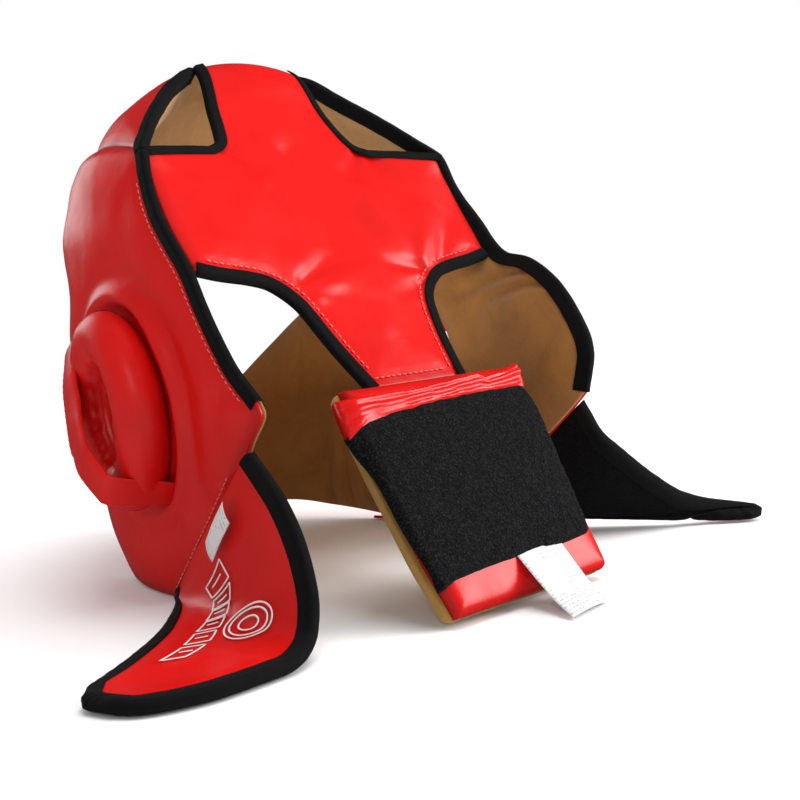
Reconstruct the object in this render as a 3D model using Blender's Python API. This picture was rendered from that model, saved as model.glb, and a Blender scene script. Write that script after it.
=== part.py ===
"""Boxing headgear, adult large, standing on its lower hem with the rear closure open.

+Z is up, the face looks along -Y and the wearer's left is +X. Patterns and sections below are in
millimetres, as a pattern cutter would draw them, and every mesh is made in metres. The padded
panels are cut flat, with their holes, and wrapped onto a head form in three layers: leather cover,
foam core and suede lining. Wings and rear pad swing on their sewn seams.
"""
from bisect import bisect_right
import math

import bmesh
import bpy
from mathutils import Vector
from mathutils.geometry import delaunay_2d_cdt

# ---------------------------------------------------------------- driving dimensions (mm)
METRES = 0.001
FOOTPRINT_MIDDLE = (-5.3, 36.4)  # head-form x and y that lie over the origin

# Level round the head, measured up the side: height, half width, front, widest point, squareness.
HEAD_SECTIONS = (
    (0, 0, 98, -98, -5, 2.4),
    (50, 50, 102, -114, -8, 2.4),
    (100, 100, 106, -125, -10, 2.5),
    (150, 150, 108, -131, -10, 2.5),
    (185, 185, 108, -129, -10, 2.5),
    (208, 208, 105, -119, -12, 2.3),
    (228, 228, 102, -108, -14, 2.1),
    (242, 238, 93, -102, -16, 2.1),
    (256, 248, 83, -96, -18, 2.1),
    (272, 259, 70, -88, -20, 2.1),
    (288, 269, 57, -78, -21, 2.1),
    (303, 278, 43, -66, -22, 2.0),
    (318, 284, 29, -51, -22, 2.0),
    (333, 287, 14, -36, -22, 2.0),
    (347, 287.5, 0.5, -22.5, -22, 2.0),
)
QUARTER_TURN = 170.0      # pattern length from the middle of the front to the widest point
REAR_TAPER = 0.06         # how fast the sides close in behind the widest point
CROWN_LEVEL = 347.0       # level of the top of the head

# Distance down the rear panel: y, height, how far the ends stand back, how far the sides drop.
REAR_PROFILE = (
    (0, -25.5, 287.4, 0, 4.9),
    (7, -20, 284, 0, 5.0),
    (15, -14.5, 277.5, 0, 5.0),
    (34, -6, 260, 2, 3.0),
    (52, 3, 244.5, 9, 1.0),
    (67, 11, 231.5, 15, 0),
    (88, 23, 214, 10, 0),
    (118, 40, 190, 7, 0),
    (146, 56, 167, 8, 0),
    (157, 62, 158, 7, 0),
    (165, 67, 151, 4, 0),
    (176, 73, 142, 2, 0),
    (201, 89, 122, 0, 0),
    (226, 106, 104, 0, 0),
)
REAR_HALF_WIDTH = 100.0   # where the ends' set-back is measured
STRAP_HALF_WIDTH = 33.0   # where the sides' drop is measured

COVER = 1.4               # leather thickness
LINING = 1.4              # suede thickness
LAYER_GAP = 0.35          # air between layers and between neighbouring panels
FOAM_EDGE = 2.0           # foam under the bound edges
FOAM_FULL = 11.0          # foam away from the edges
FOAM_RAMP = 24.0          # distance over which it thickens
CELL = 20.0               # spacing of the panel mesh
EDGE_STEP = 17.0          # spacing of the points along an outline
BINDING_REACH = 3.2       # how far a binding stands off the panel edge
BINDING_LIP = 0.8         # how far it stands proud of both faces

# Pattern lines on the head form: (distance round from the front, level).
FACE_EDGE = ((100, 176), (103, 163), (95, 152), (76, 139), (55, 119), (33, 99), (14, 85), (0, 81))
CHIN_SEAM = ((0, 81), (0, 17))
HEM = ((0, 17), (55, 15), (87, 9), (120, 3.5), (140, 1.6), (192, 1.6))
LEFT_WING_SEAM = ((192, 1.6), (237, 44), (268, 74))
LEFT_CORNER = ((268, 74), (280, 88), (290, 99), (288, 106))
LEFT_REAR_EDGE = ((288, 106), (272, 122), (258, 144), (244, 169), (229, 188), (217, 207), (211, 228))
RIGHT_WING_SEAM = ((192, 1.6), (240, 35), (286, 66))
RIGHT_CORNER = ((286, 66), (302, 79), (312, 88))
RIGHT_REAR_EDGE = ((312, 88), (316, 110), (308, 128), (292, 148), (272, 161), (250, 167), (233, 185),
                   (218, 207), (211, 228))
CROWN_SEAM = ((211, 228), (190, 236), (165, 241), (130, 242), (100, 242))
BROW_SEAM = ((100, 242), (100, 176))
FOREHEAD_TOP = ((100, 242), (50, 242), (0, 242), (-50, 242), (-100, 242))
BROW_EDGE = ((100, 176), (60, 172), (0, 170), (-60, 172), (-100, 176))
EAR_CENTRE = (184, 104)
EAR_HOLE = (17, 27)       # half sizes
CROWN_RIM = ((33, -9), (43.5, 1), (59, 7), (75, 16), (91, 25), (105, 33), (119, 41))

# Rear panel, left half: (distance from the middle, distance down the panel).
STRAP_SIDE = ((33, 0), (35, 15), (38, 34), (41, 50), (45, 62), (53, 67))
BAND_TOP = ((53, 67), (72, 68), (91, 70))
BAND_END = ((91, 70), (92, 118), (90, 144))
BAND_BOTTOM = ((90, 144), (82, 150), (69, 153), (57, 157), (47, 166), (42, 176), (36, 201), (31, 226))

EAR_RING_CENTRE = (184, 101)
EAR_RING_SPINE = (27.5, 37)   # half sizes of the line through the middle of the ring's roll
EAR_RING_ROLL = (13.5, 13)    # half width and half height of the roll
EAR_RING_FALL = 0.16          # how much lower the ring is in front than behind
EAR_RING_STEPS = 22            # sections round the ring
EAR_RING_SIDES = 8             # corners of each section
EAR_STRAP = ((-28, 24), (-12, 6), (-1, -11), (13, -25), (27, -31))
EAR_STRAP_LIFT = (20.5, 27.5)
EAR_STRAP_WIDTH = 22.0
EAR_STRAP_THICKNESS = 2.5
EAR_CLEARANCE = 0.5           # air between the ring and the side panel

# Rear pad: hinge line, lean of the pad, outline from the middle and from the hinge.
PAD_HINGE = (0, 110, 105)
PAD_LEAN = 28.3               # degrees the pad leans back from the vertical
PAD_TOP = (61, 4)             # left edge of the pad: distance from the middle, below the hinge
PAD_BOTTOM = (44, 116)
PAD_TOP_RIGHT = (-54, 4)
PAD_BOTTOM_RIGHT = (-57, 116)
PAD_FRONT = 9.5               # outer face, off the hinge plane
PAD_BACK = -4.5
PATCH_TOP = 17.0
PATCH_BOTTOM = 99.0
PATCH_THICKNESS = 2.0
PATCH_INSET = 1.5             # pad cover left bare at each side of the patch
FLAP_THICKNESS = 4.0
FLAP_GAP = 0.5                # between the flap and the patch below it

WING_THICKNESS = 5.0
WING_CORE = 1.5
HOOK_PANEL = 1.3
WING_GRID = (9, 5)            # cells along and across a wing
WING_TAPE_LIP = 0.3           # how far a wing's binding stands proud of its faces
WING_TAPE_COVER = 0.45        # share of the margin that the binding covers
WING_MARGIN = 6.0             # how far a wing's binding reaches in
WING_SAG = 0.8                # how much a wing's middle drops towards the floor
LEFT_WING_HINGE = (103.5, 64.5, 44.5)
LEFT_WING_INNER = ((103, 24, 5), (114, 43, 5), (139, 73, 4), (172, 101, 4), (198, 119, 4))
LEFT_WING_OUTER = ((104, 105, 84), (103, 129, 65), (103, 140, 49), (104, 148, 28), (109, 152, 11),
                   (126, 158, 4), (155, 159, 4), (184, 151, 4), (201, 131, 4))
RIGHT_WING_HINGE = (-105, 72, 44)
RIGHT_WING_INNER = ((-103, 24, 6), (-117, 52, 9), (-139, 88, 8), (-162, 121, 6), (-180, 148, 4),
                    (-198, 170, 4))
RIGHT_WING_OUTER = ((-107, 120, 82), (-114, 124, 64), (-127, 130, 50), (-146, 135, 34),
                    (-168, 140, 20), (-192, 150, 12), (-211, 162, 7))

HEM_TAPE_SPAN = (120, 138, 156, 174, 190)     # distances round of the hem tape's sections
HEM_TAPE_WIDTH = 5.2
HEM_TAPE_HEIGHT = 1.2


LABEL_LINE = ((-18, 176, 15), (-16, 183, 8), (-13, 192, 3), (-9, 203, 1.2))
LABEL_WIDTH = 34.0
LABEL_THICKNESS = 0.8
SIDE_LABEL_LINE = ((108, 92, 66), (109, 84, 50), (110, 80, 36))
SIDE_LABEL_ACROSS = (0, 9, 4)
SIDE_LABEL_THICKNESS = 0.9

# ---------------------------------------------------------------- colours: base, roughness
RED_LEATHER = ((0.62, 0.006, 0.008), 0.32)
TAN_SUEDE = ((0.25, 0.12, 0.03), 0.85)
GREY_FOAM = ((0.35, 0.35, 0.36), 0.95)
BLACK_WEBBING = ((0.012, 0.012, 0.014), 0.75)
BLACK_LOOP = ((0.018, 0.018, 0.020), 0.95)
WHITE_LABEL = ((0.80, 0.80, 0.79), 0.60)


# ---------------------------------------------------------------- curves and surfaces
def smooth(rows, key):
    """The rows' values at a key, joined by cubics that don't overshoot."""
    keys = [row[0] for row in rows]
    key = min(max(key, keys[0]), keys[-1])
    left = min(bisect_right(keys, key), len(keys) - 1) - 1
    span = keys[left + 1] - keys[left]
    t = (key - keys[left]) / span

    def secant(i, column):
        """Slope of a column across one span."""
        return (rows[i + 1][column] - rows[i][column]) / (keys[i + 1] - keys[i])

    def slope(i, column):
        """Slope of a column at a row."""
        if i == 0:
            return secant(0, column)
        if i == len(keys) - 1:
            return secant(i - 1, column)
        before = secant(i - 1, column)
        after = secant(i, column)
        return 0.0 if before * after <= 0 else 2 * before * after / (before + after)

    values = []
    for column in range(1, len(rows[0])):
        start = rows[left][column]
        end = rows[left + 1][column]
        values.append(start * (1 + 2 * t) * (1 - t) ** 2 + end * t * t * (3 - 2 * t)
                      + span * t * (1 - t) * ((1 - t) * slope(left, column)
                                              - t * slope(left + 1, column)))
    return values


def head_form(place):
    """Point of the head form at (distance round, level)."""
    run = abs(place[0])
    side = math.copysign(1, place[0])
    height, half, front, middle, power = smooth(HEAD_SECTIONS, place[1])
    if run > QUARTER_TURN:
        behind = run - QUARTER_TURN
        return Vector((side * (half - REAR_TAPER * behind), middle + behind, height))
    turn = math.pi / 2 * run / QUARTER_TURN
    reach = ((math.sin(turn) / half) ** power
             + (math.cos(turn) / (middle - front)) ** power) ** (-1 / power)
    return Vector((side * reach * math.sin(turn), middle - reach * math.cos(turn), height))


def to_crown(place):
    """Crown pattern place, flattened about the top of the head, of a head form place."""
    radius = CROWN_LEVEL - place[1]
    if abs(place[0]) > QUARTER_TURN:
        return (math.copysign(radius, place[0]), abs(place[0]) - QUARTER_TURN)
    turn = math.pi / 2 * place[0] / QUARTER_TURN
    return (radius * math.sin(turn), -radius * math.cos(turn))


def crown_form(place):
    """Point of the head form at a crown pattern place."""
    if place[1] > 0:
        side = math.copysign(1, place[0])
        return head_form((side * (QUARTER_TURN + place[1]), CROWN_LEVEL - abs(place[0])))
    turn = math.atan2(place[0], -place[1])
    radius = math.hypot(*place)
    return head_form((QUARTER_TURN * turn / (math.pi / 2), CROWN_LEVEL - radius))


def rear_form(place):
    """Point of the rear panel at (distance from the middle, distance down)."""
    y, height, set_back, drop = smooth(REAR_PROFILE, place[1])
    return Vector((place[0], y + set_back * (place[0] / REAR_HALF_WIDTH) ** 2,
                   height - drop * (place[0] / STRAP_HALF_WIDTH) ** 2))


def off_surface(form, place, depth):
    """Point at a depth below a form's surface."""
    nudge = 0.5
    across = form((place[0] + nudge, place[1])) - form((place[0] - nudge, place[1]))
    along = form((place[0], place[1] + nudge)) - form((place[0], place[1] - nudge))
    return form(place) - across.cross(along).normalized() * depth


def spline(points, step):
    """Evenly spread points on a smooth curve through the given ones."""
    points = [Vector(point) for point in points]
    if len(points) == 2:
        count = max(1, round((points[1] - points[0]).length / step))
        return [points[0].lerp(points[1], i / count) for i in range(count + 1)]
    ends = [2 * points[0] - points[1]] + points + [2 * points[-1] - points[-2]]
    dense = []
    for a, b, c, d in zip(ends, ends[1:], ends[2:], ends[3:]):
        for i in range(12):
            t = i / 12
            dense.append(0.5 * (2 * b + (c - a) * t + (2 * a - 5 * b + 4 * c - d) * t * t
                                + (3 * b - a - 3 * c + d) * t ** 3))
    dense.append(points[-1])
    lengths = [0.0]
    for a, b in zip(dense, dense[1:]):
        lengths.append(lengths[-1] + (b - a).length)
    count = max(2, round(lengths[-1] / step))
    spread = []
    for i in range(count + 1):
        target = lengths[-1] * i / count
        j = min(bisect_right(lengths, target), len(lengths) - 1)
        share = (target - lengths[j - 1]) / (lengths[j] - lengths[j - 1])
        spread.append(dense[j - 1].lerp(dense[j], share))
    return spread


def mirrored(points):
    """The same line on the other side, drawn backwards."""
    return [(-point[0], *point[1:]) for point in reversed(points)]


def outline(*runs):
    """Closed outline from lines that meet end to end."""
    loop = []
    for run in runs:
        loop += spline(run, EDGE_STEP)[:-1]
    return loop


def ellipse(centre, half_sizes, count):
    """Closed round outline."""
    turns = [2 * math.pi * i / count for i in range(count)]
    return [Vector((centre[0] + half_sizes[0] * math.cos(turn),
                    centre[1] + half_sizes[1] * math.sin(turn))) for turn in turns]


def shifted(loop, distance, closed=True):
    """A line moved sideways, to the left of its direction."""
    moved = []
    for i, point in enumerate(loop):
        before = loop[i - 1] if closed or i else point
        after = loop[(i + 1) % len(loop)] if closed or i < len(loop) - 1 else point
        into = (point - before).normalized() if point != before else Vector((0, 0))
        out = (after - point).normalized() if point != after else Vector((0, 0))
        heading = (into + out).normalized()
        if into.length and out.length:
            stretch = 1 / max(0.5, heading.dot(out))
        else:
            stretch = 1.0
        moved.append(point + Vector((-heading.y, heading.x)) * distance * stretch)
    return moved


def turned_left(loop):
    """The same closed outline, anticlockwise."""
    area = sum(a.cross(b) for a, b in zip(loop, loop[1:] + loop[:1]))
    return loop if area > 0 else loop[::-1]


def contains(loop, point):
    """Whether a point lies inside a closed outline."""
    inside = False
    for a, b in zip(loop, loop[1:] + loop[:1]):
        if (a.y > point[1]) != (b.y > point[1]):
            if point[0] < a.x + (point[1] - a.y) * (b.x - a.x) / (b.y - a.y):
                inside = not inside
    return inside


def edge_distance(loops, point):
    """Distance from a point to the nearest outline."""
    nearest = math.inf
    for loop in loops:
        for a, b in zip(loop, loop[1:] + loop[:1]):
            side = b - a
            t = max(0.0, min(1.0, (point - a).dot(side) / side.length_squared))
            nearest = min(nearest, (point - a - side * t).length)
    return nearest


# ---------------------------------------------------------------- making objects
def fresh_collection():
    """Empty the file and return the collection that holds the parts."""
    for old in list(bpy.data.objects):
        bpy.data.objects.remove(old)
    collection = bpy.data.collections.new("boxing_headgear")
    bpy.context.scene.collection.children.link(collection)
    return collection


def material(name, finish):
    """Principled material with a colour and a roughness."""
    colour, roughness = finish
    made = bpy.data.materials.new(name)
    made.use_nodes = True
    shader = made.node_tree.nodes["Principled BSDF"]
    shader.inputs["Base Color"].default_value = (*colour, 1)
    shader.inputs["Roughness"].default_value = roughness
    shader.inputs["Metallic"].default_value = 0.0
    made.diffuse_color = (*colour, 1)
    return made


def add_object(name, bm, finish, anchor, parent):
    """Named object whose origin is at an anchor in head-form millimetres."""
    bmesh.ops.recalc_face_normals(bm, faces=bm.faces)
    if bm.calc_volume(signed=True) < 0:
        bmesh.ops.reverse_faces(bm, faces=bm.faces)
    bmesh.ops.translate(bm, verts=bm.verts, vec=-Vector(anchor))
    bmesh.ops.scale(bm, verts=bm.verts, vec=(METRES,) * 3)
    mesh = bpy.data.meshes.new(name)
    bm.to_mesh(mesh)
    bm.free()
    mesh.shade_smooth()
    mesh.set_sharp_from_angle(angle=math.radians(40))
    mesh.materials.append(material(name + "_finish", finish))
    made = bpy.data.objects.new(name, mesh)
    PARTS.objects.link(made)
    made.parent = parent
    made.location = (Vector(anchor) - Vector(parent["anchor"])) * METRES
    return made


def add_empty(name, anchor, parent=None):
    """Empty on a joint or at the middle of the footprint."""
    made = bpy.data.objects.new(name, None)
    PARTS.objects.link(made)
    made["anchor"] = anchor
    made.empty_display_size = 0.03
    if parent:
        made.parent = parent
        made.location = (Vector(anchor) - Vector(parent["anchor"])) * METRES
    return made


def skins_to_bmesh(outer, inner, triangles, borders):
    """Closed body from two matching skins, their shared triangles and their border loops."""
    bm = bmesh.new()
    top = [bm.verts.new(point) for point in outer]
    bottom = [bm.verts.new(point) for point in inner]
    for triangle in triangles:
        bm.faces.new([top[i] for i in triangle])
        bm.faces.new([bottom[i] for i in reversed(triangle)])
    for border in borders:
        for a, b in zip(border, border[1:] + border[:1]):
            bm.faces.new((top[a], bottom[a], bottom[b], top[b]))
    return bm


class Pattern:
    """A flat panel outline with holes, cut into a triangle mesh."""

    def __init__(self, loop, holes=()):
        """Cut the outline and its holes into points, triangles and borders."""
        self.loops = [turned_left(shifted(turned_left(loop), LAYER_GAP))] + list(holes)
        points = [point for one in self.loops for point in one]
        self.borders = []
        start = 0
        for one in self.loops:
            self.borders.append(list(range(start, start + len(one))))
            start += len(one)
        low = [min(point[axis] for point in loop) for axis in (0, 1)]
        high = [max(point[axis] for point in loop) for axis in (0, 1)]
        columns = [math.ceil((high[axis] - low[axis]) / CELL) for axis in (0, 1)]
        for i in range(1, columns[0]):
            for j in range(1, columns[1]):
                point = Vector((low[0] + (high[0] - low[0]) * i / columns[0],
                                low[1] + (high[1] - low[1]) * j / columns[1]))
                if self.covers(point) and edge_distance(self.loops, point) > 0.42 * CELL:
                    points.append(point)
        edges = [pair for border in self.borders
                 for pair in zip(border, border[1:] + border[:1])]
        cut = delaunay_2d_cdt(points, edges, [], 1, 1e-6)
        self.points = [Vector(point) for point in cut[0]]
        self.triangles = []
        for face in cut[2]:
            middle = sum((self.points[i] for i in face), Vector((0, 0))) / 3
            if self.covers(middle):
                self.triangles.append(tuple(face))
        self.rise = [edge_distance(self.loops, point) for point in self.points]

    def covers(self, point):
        """Whether a point is on the panel."""
        if not contains(self.loops[0], point):
            return False
        return not any(contains(hole, point) for hole in self.loops[1:])

    def layer(self, form, outer_depth, inner_depth):
        """Closed layer between two depths, each a function of the distance from the edge."""
        outer = [off_surface(form, point, outer_depth(rise))
                 for point, rise in zip(self.points, self.rise)]
        inner = [off_surface(form, point, inner_depth(rise))
                 for point, rise in zip(self.points, self.rise)]
        return skins_to_bmesh(outer, inner, self.triangles, self.borders)


def foam_thickness(rise):
    """Foam thickness at a distance from the panel's edge."""
    share = min(1.0, rise / FOAM_RAMP)
    return FOAM_EDGE + (FOAM_FULL - FOAM_EDGE) * math.sin(share * math.pi / 2)


def padded_panel(name, pattern, form):
    """Leather cover, foam core and suede lining of one padded panel."""
    foam_top = COVER + LAYER_GAP
    cover = pattern.layer(form, lambda rise: 0.0, lambda rise: COVER)
    add_object(name + "_cover", cover, RED_LEATHER, (0, 0, 0), ROOT)
    foam = pattern.layer(form, lambda rise: foam_top, lambda rise: foam_top + foam_thickness(rise))
    add_object(name + "_foam", foam, GREY_FOAM, (0, 0, 0), ROOT)

    def lining_top(rise):
        """Depth of the lining's outer face."""
        return foam_top + foam_thickness(rise) + LAYER_GAP

    lining = pattern.layer(form, lining_top, lambda rise: lining_top(rise) + LINING)
    add_object(name + "_lining", lining, TAN_SUEDE, (0, 0, 0), ROOT)


def swept_bar(sections, closed=False):
    """Bar through matching cross-sections, with flat ends unless it closes on itself."""
    bm = bmesh.new()
    rings = [[bm.verts.new(point) for point in section] for section in sections]
    pairs = list(zip(rings, rings[1:]))
    if closed:
        pairs.append((rings[-1], rings[0]))
    for first, second in pairs:
        count = len(first)
        for i in range(count):
            j = (i + 1) % count
            bm.faces.new((first[i], first[j], second[j], second[i]))
    if not closed:
        bm.faces.new(rings[0])
        bm.faces.new(rings[-1])
    return bm


def binding(name, form, line, side):
    """Woven tape on a panel edge; side is +1 where the tape is to the left of the line."""
    total = COVER + LAYER_GAP + FOAM_EDGE + LAYER_GAP + LINING
    near = shifted(line, side * LAYER_GAP, closed=False)
    far = shifted(line, side * BINDING_REACH, closed=False)
    sections = []
    for inside, outside in zip(near, far):
        sections.append((off_surface(form, inside, -BINDING_LIP),
                         off_surface(form, outside, -BINDING_LIP),
                         off_surface(form, outside, total + BINDING_LIP),
                         off_surface(form, inside, total + BINDING_LIP)))
    add_object(name, swept_bar(sections), BLACK_WEBBING, (0, 0, 0), ROOT)


def head_panels():
    """Crown, forehead and side panels, with the holes for the ears."""
    seam = [to_crown(point) for point in spline(CROWN_SEAM, EDGE_STEP)]
    top = [to_crown(point) for point in spline(FOREHEAD_TOP, EDGE_STEP)]
    far_seam = [(-point[0], point[1]) for point in reversed(seam)]
    crown = outline(CROWN_RIM) + [Vector(point) for point in seam[:-1] + top[:-1] + far_seam[:-1]]
    crown += outline(mirrored(CROWN_RIM), (mirrored(CROWN_RIM)[-1], CROWN_RIM[0]))
    padded_panel("crown", Pattern(crown), crown_form)

    forehead = outline(BROW_SEAM, BROW_EDGE, mirrored(BROW_SEAM), FOREHEAD_TOP[::-1])
    padded_panel("forehead", Pattern(forehead), head_form)

    front = (FACE_EDGE, CHIN_SEAM, HEM)
    runs = (*front, LEFT_WING_SEAM, LEFT_CORNER, LEFT_REAR_EDGE, CROWN_SEAM, BROW_SEAM)
    hole = ellipse(EAR_CENTRE, EAR_HOLE, 16)
    padded_panel("left_side", Pattern(outline(*runs), [hole]), head_form)
    runs = (*front, RIGHT_WING_SEAM, RIGHT_CORNER, RIGHT_REAR_EDGE, CROWN_SEAM, BROW_SEAM)
    flipped = [mirrored(run) for run in reversed(runs)]
    far_hole = ellipse((-EAR_CENTRE[0], EAR_CENTRE[1]), EAR_HOLE, 16)
    padded_panel("right_side", Pattern(outline(*flipped), [far_hole]), head_form)


def rear_panel():
    """Cross-shaped panel: crown strap, band round the back of the head and neck tab."""
    half = (STRAP_SIDE, BAND_TOP, BAND_END, BAND_BOTTOM)
    far = [mirrored(run) for run in reversed(half)]
    foot = (half[-1][-1], far[0][0])
    brow = (far[-1][-1], half[0][0])
    padded_panel("rear", Pattern(outline(*half, foot, *far, brow)), rear_form)


def bindings():
    """Tape on the crown openings, the rear edges and the rear panel's free edges."""
    for name, rear_edge in (("left", LEFT_REAR_EDGE), ("right", RIGHT_REAR_EDGE)):
        rim = spline(CROWN_RIM, EDGE_STEP)[1:-1]
        strap = spline(STRAP_SIDE, EDGE_STEP)[1:] + spline(BAND_TOP, EDGE_STEP)[1:-1]
        neck = spline(BAND_BOTTOM, EDGE_STEP)[1:]
        rear = spline(rear_edge, EDGE_STEP)
        for part, form, line in (("crown", crown_form, rim), ("strap", rear_form, strap),
                                 ("neck", rear_form, neck), ("rear", head_form, rear)):
            side = 1 if part == "crown" else -1
            if name == "right":
                line = [Vector(point) for point in mirrored(line)]
            binding(name + "_" + part + "_binding", form, line, side)


def hem_tape(name, side):
    """Folded leather hem under the cheek, with a level sole that the headgear stands on."""
    sections = []
    for run in HEM_TAPE_SPAN:
        place = (side * run, 0)
        outer = off_surface(head_form, place, 0)
        inner = off_surface(head_form, place, HEM_TAPE_WIDTH)
        lift = Vector((0, 0, HEM_TAPE_HEIGHT))
        foot = Vector((inner.x, inner.y, 0))
        sections.append((outer, outer + lift, foot + lift, foot))
    add_object(name, swept_bar(sections), RED_LEATHER, (0, 0, 0), ROOT)


def ear_guard(name, side):
    """Padded ring round the ear hole and the flat strap that crosses it."""
    half_width, rear_height = EAR_RING_ROLL
    sections = []
    for i in range(EAR_RING_STEPS):
        turn = 2 * math.pi * i / EAR_RING_STEPS
        half_height = rear_height * (1 - EAR_RING_FALL * (1 - math.cos(turn)))
        section = []
        for j in range(EAR_RING_SIDES):
            roll = 2 * math.pi * j / EAR_RING_SIDES
            grow = half_width * math.cos(roll)
            place = (side * (EAR_RING_CENTRE[0] + (EAR_RING_SPINE[0] + grow) * math.cos(turn)),
                     EAR_RING_CENTRE[1] + (EAR_RING_SPINE[1] + grow) * math.sin(turn))
            lift = EAR_CLEARANCE + half_height * (1 + math.sin(roll))
            section.append(off_surface(head_form, place, -lift))
        sections.append(section)
    add_object(name + "_ear_ring", swept_bar(sections, closed=True), RED_LEATHER,
               (0, 0, 0), ROOT)

    line = [Vector(point) + Vector(EAR_CENTRE) for point in spline(EAR_STRAP, 12)]
    sections = []
    left = shifted(line, EAR_STRAP_WIDTH / 2, closed=False)
    right = shifted(line, -EAR_STRAP_WIDTH / 2, closed=False)
    for i, (a, b) in enumerate(zip(left, right)):
        share = i / (len(line) - 1)
        low = EAR_STRAP_LIFT[0] * (1 - share) + EAR_STRAP_LIFT[1] * share
        near, far = ((side * point.x, point.y) for point in (a, b))
        sections.append([off_surface(head_form, place, -lift) for place, lift in
                         ((near, low), (far, low), (far, low + EAR_STRAP_THICKNESS),
                          (near, low + EAR_STRAP_THICKNESS))])
    add_object(name + "_ear_strap", swept_bar(sections), RED_LEATHER, (0, 0, 0), ROOT)


def wing_form(inner_edge, outer_edge):
    """Surface of a wing from (share along, share across) between its two edges."""
    def along(edge, share):
        """Point at a share of an edge's length."""
        place = share * (len(edge) - 1)
        return Vector(smooth([(i, *point) for i, point in enumerate(edge)], place))

    def form(place):
        """Point of the wing at a place."""
        low = along(inner_edge, place[0])
        high = along(outer_edge, place[0])
        sag = 1 + WING_SAG * min(1.0, place[0] / 0.3)
        point = low.lerp(high, place[1])
        point.z = low.z + (high.z - low.z) * place[1] ** sag
        return point
    return form


def wing_normal(form, side, place):
    """Direction out of a wing's leather face."""
    nudge = 0.01
    a, b = (min(max(value, nudge), 1 - nudge) for value in place)
    along = form((a + nudge, b)) - form((a - nudge, b))
    across = form((a, b + nudge)) - form((a, b - nudge))
    normal = along.cross(across).normalized()
    return normal * side


def drawn_in(form, place, margin):
    """The same place on a wing that is smaller by a margin all round."""
    ends = margin / (form((1, 0.5)) - form((0, 0.5))).length
    along = ends + (1 - 2 * ends) * place[0]
    width = (form((along, 1)) - form((along, 0))).length
    sides = min(0.3, margin / width)
    return (along, sides + (1 - 2 * sides) * place[1])


def wing(name, side, inner_edge, outer_edge, joint):
    """Closure wing: leather face, thin core and hook fabric, with tape round its free edges."""
    form = wing_form(inner_edge, outer_edge)
    rows, columns = WING_GRID
    depth = 0.0
    for layer, thickness, finish in (("cover", COVER, RED_LEATHER), ("core", WING_CORE, GREY_FOAM),
                                     ("hook_panel", HOOK_PANEL, BLACK_LOOP)):
        outer = []
        inner = []
        for i in range(rows + 1):
            for j in range(columns + 1):
                place = drawn_in(form, (i / rows, j / columns), WING_MARGIN)
                normal = wing_normal(form, side, place)
                middle = form(place) + normal * (WING_THICKNESS / 2)
                outer.append(middle - normal * depth)
                inner.append(middle - normal * (depth + thickness))
        stride = columns + 1
        triangles = []
        for i in range(rows):
            for j in range(columns):
                a = i * stride + j
                triangles += [(a, a + stride, a + 1), (a + 1, a + stride, a + stride + 1)]
        border = [j for j in range(columns)]
        border += [i * stride + columns for i in range(rows)]
        border += [rows * stride + j for j in range(columns, 0, -1)]
        border += [i * stride for i in range(rows, 0, -1)]
        body = skins_to_bmesh(outer, inner, triangles, [border])
        add_object(name + "_wing_" + layer, body, finish, joint["anchor"], joint)
        depth += thickness + LAYER_GAP

    places = [(i / rows, 1.0) for i in range(rows + 1)]
    places += [(1.0, 1 - j / columns) for j in range(1, columns + 1)]
    places += [(1 - i / rows, 0.0) for i in range(1, rows + 1)]
    sections = []
    for a, b in places:
        normal = wing_normal(form, side, drawn_in(form, (a, b), WING_MARGIN))
        edge = form((a, b))
        shrunk = form(drawn_in(form, (a, b), WING_MARGIN * WING_TAPE_COVER))
        lift = normal * (WING_THICKNESS / 2 + WING_TAPE_LIP)
        sections.append((edge + lift, shrunk + lift, shrunk - lift, edge - lift))
    add_object(name + "_wing_binding", swept_bar(sections), BLACK_WEBBING, joint["anchor"], joint)


def pad_form(place):
    """Point of the rear pad's middle plane at (distance from the middle, below the hinge)."""
    lean = math.radians(PAD_LEAN)
    return Vector((place[0], PAD_HINGE[1] + place[1] * math.sin(lean),
                   PAD_HINGE[2] - place[1] * math.cos(lean)))


def pad_outline(inset, top, bottom):
    """Four-sided outline between two lines across the pad."""
    def side_at(upper, lower, below):
        """Distance of a side from the middle, at a distance below the hinge."""
        share = (below - upper[1]) / (lower[1] - upper[1])
        return upper[0] + (lower[0] - upper[0]) * share

    left = [(side_at(PAD_TOP, PAD_BOTTOM, below) - inset, below) for below in (top, bottom)]
    right = [(side_at(PAD_TOP_RIGHT, PAD_BOTTOM_RIGHT, below) + inset, below)
             for below in (bottom, top)]
    corners = left + right
    return outline(*((a, b) for a, b in zip(corners, corners[1:] + corners[:1])))


def slab(pattern, front, back):
    """Flat layer of the pad between two distances off its middle plane."""
    return pattern.layer(pad_form, lambda rise: -front, lambda rise: -back)


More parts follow.
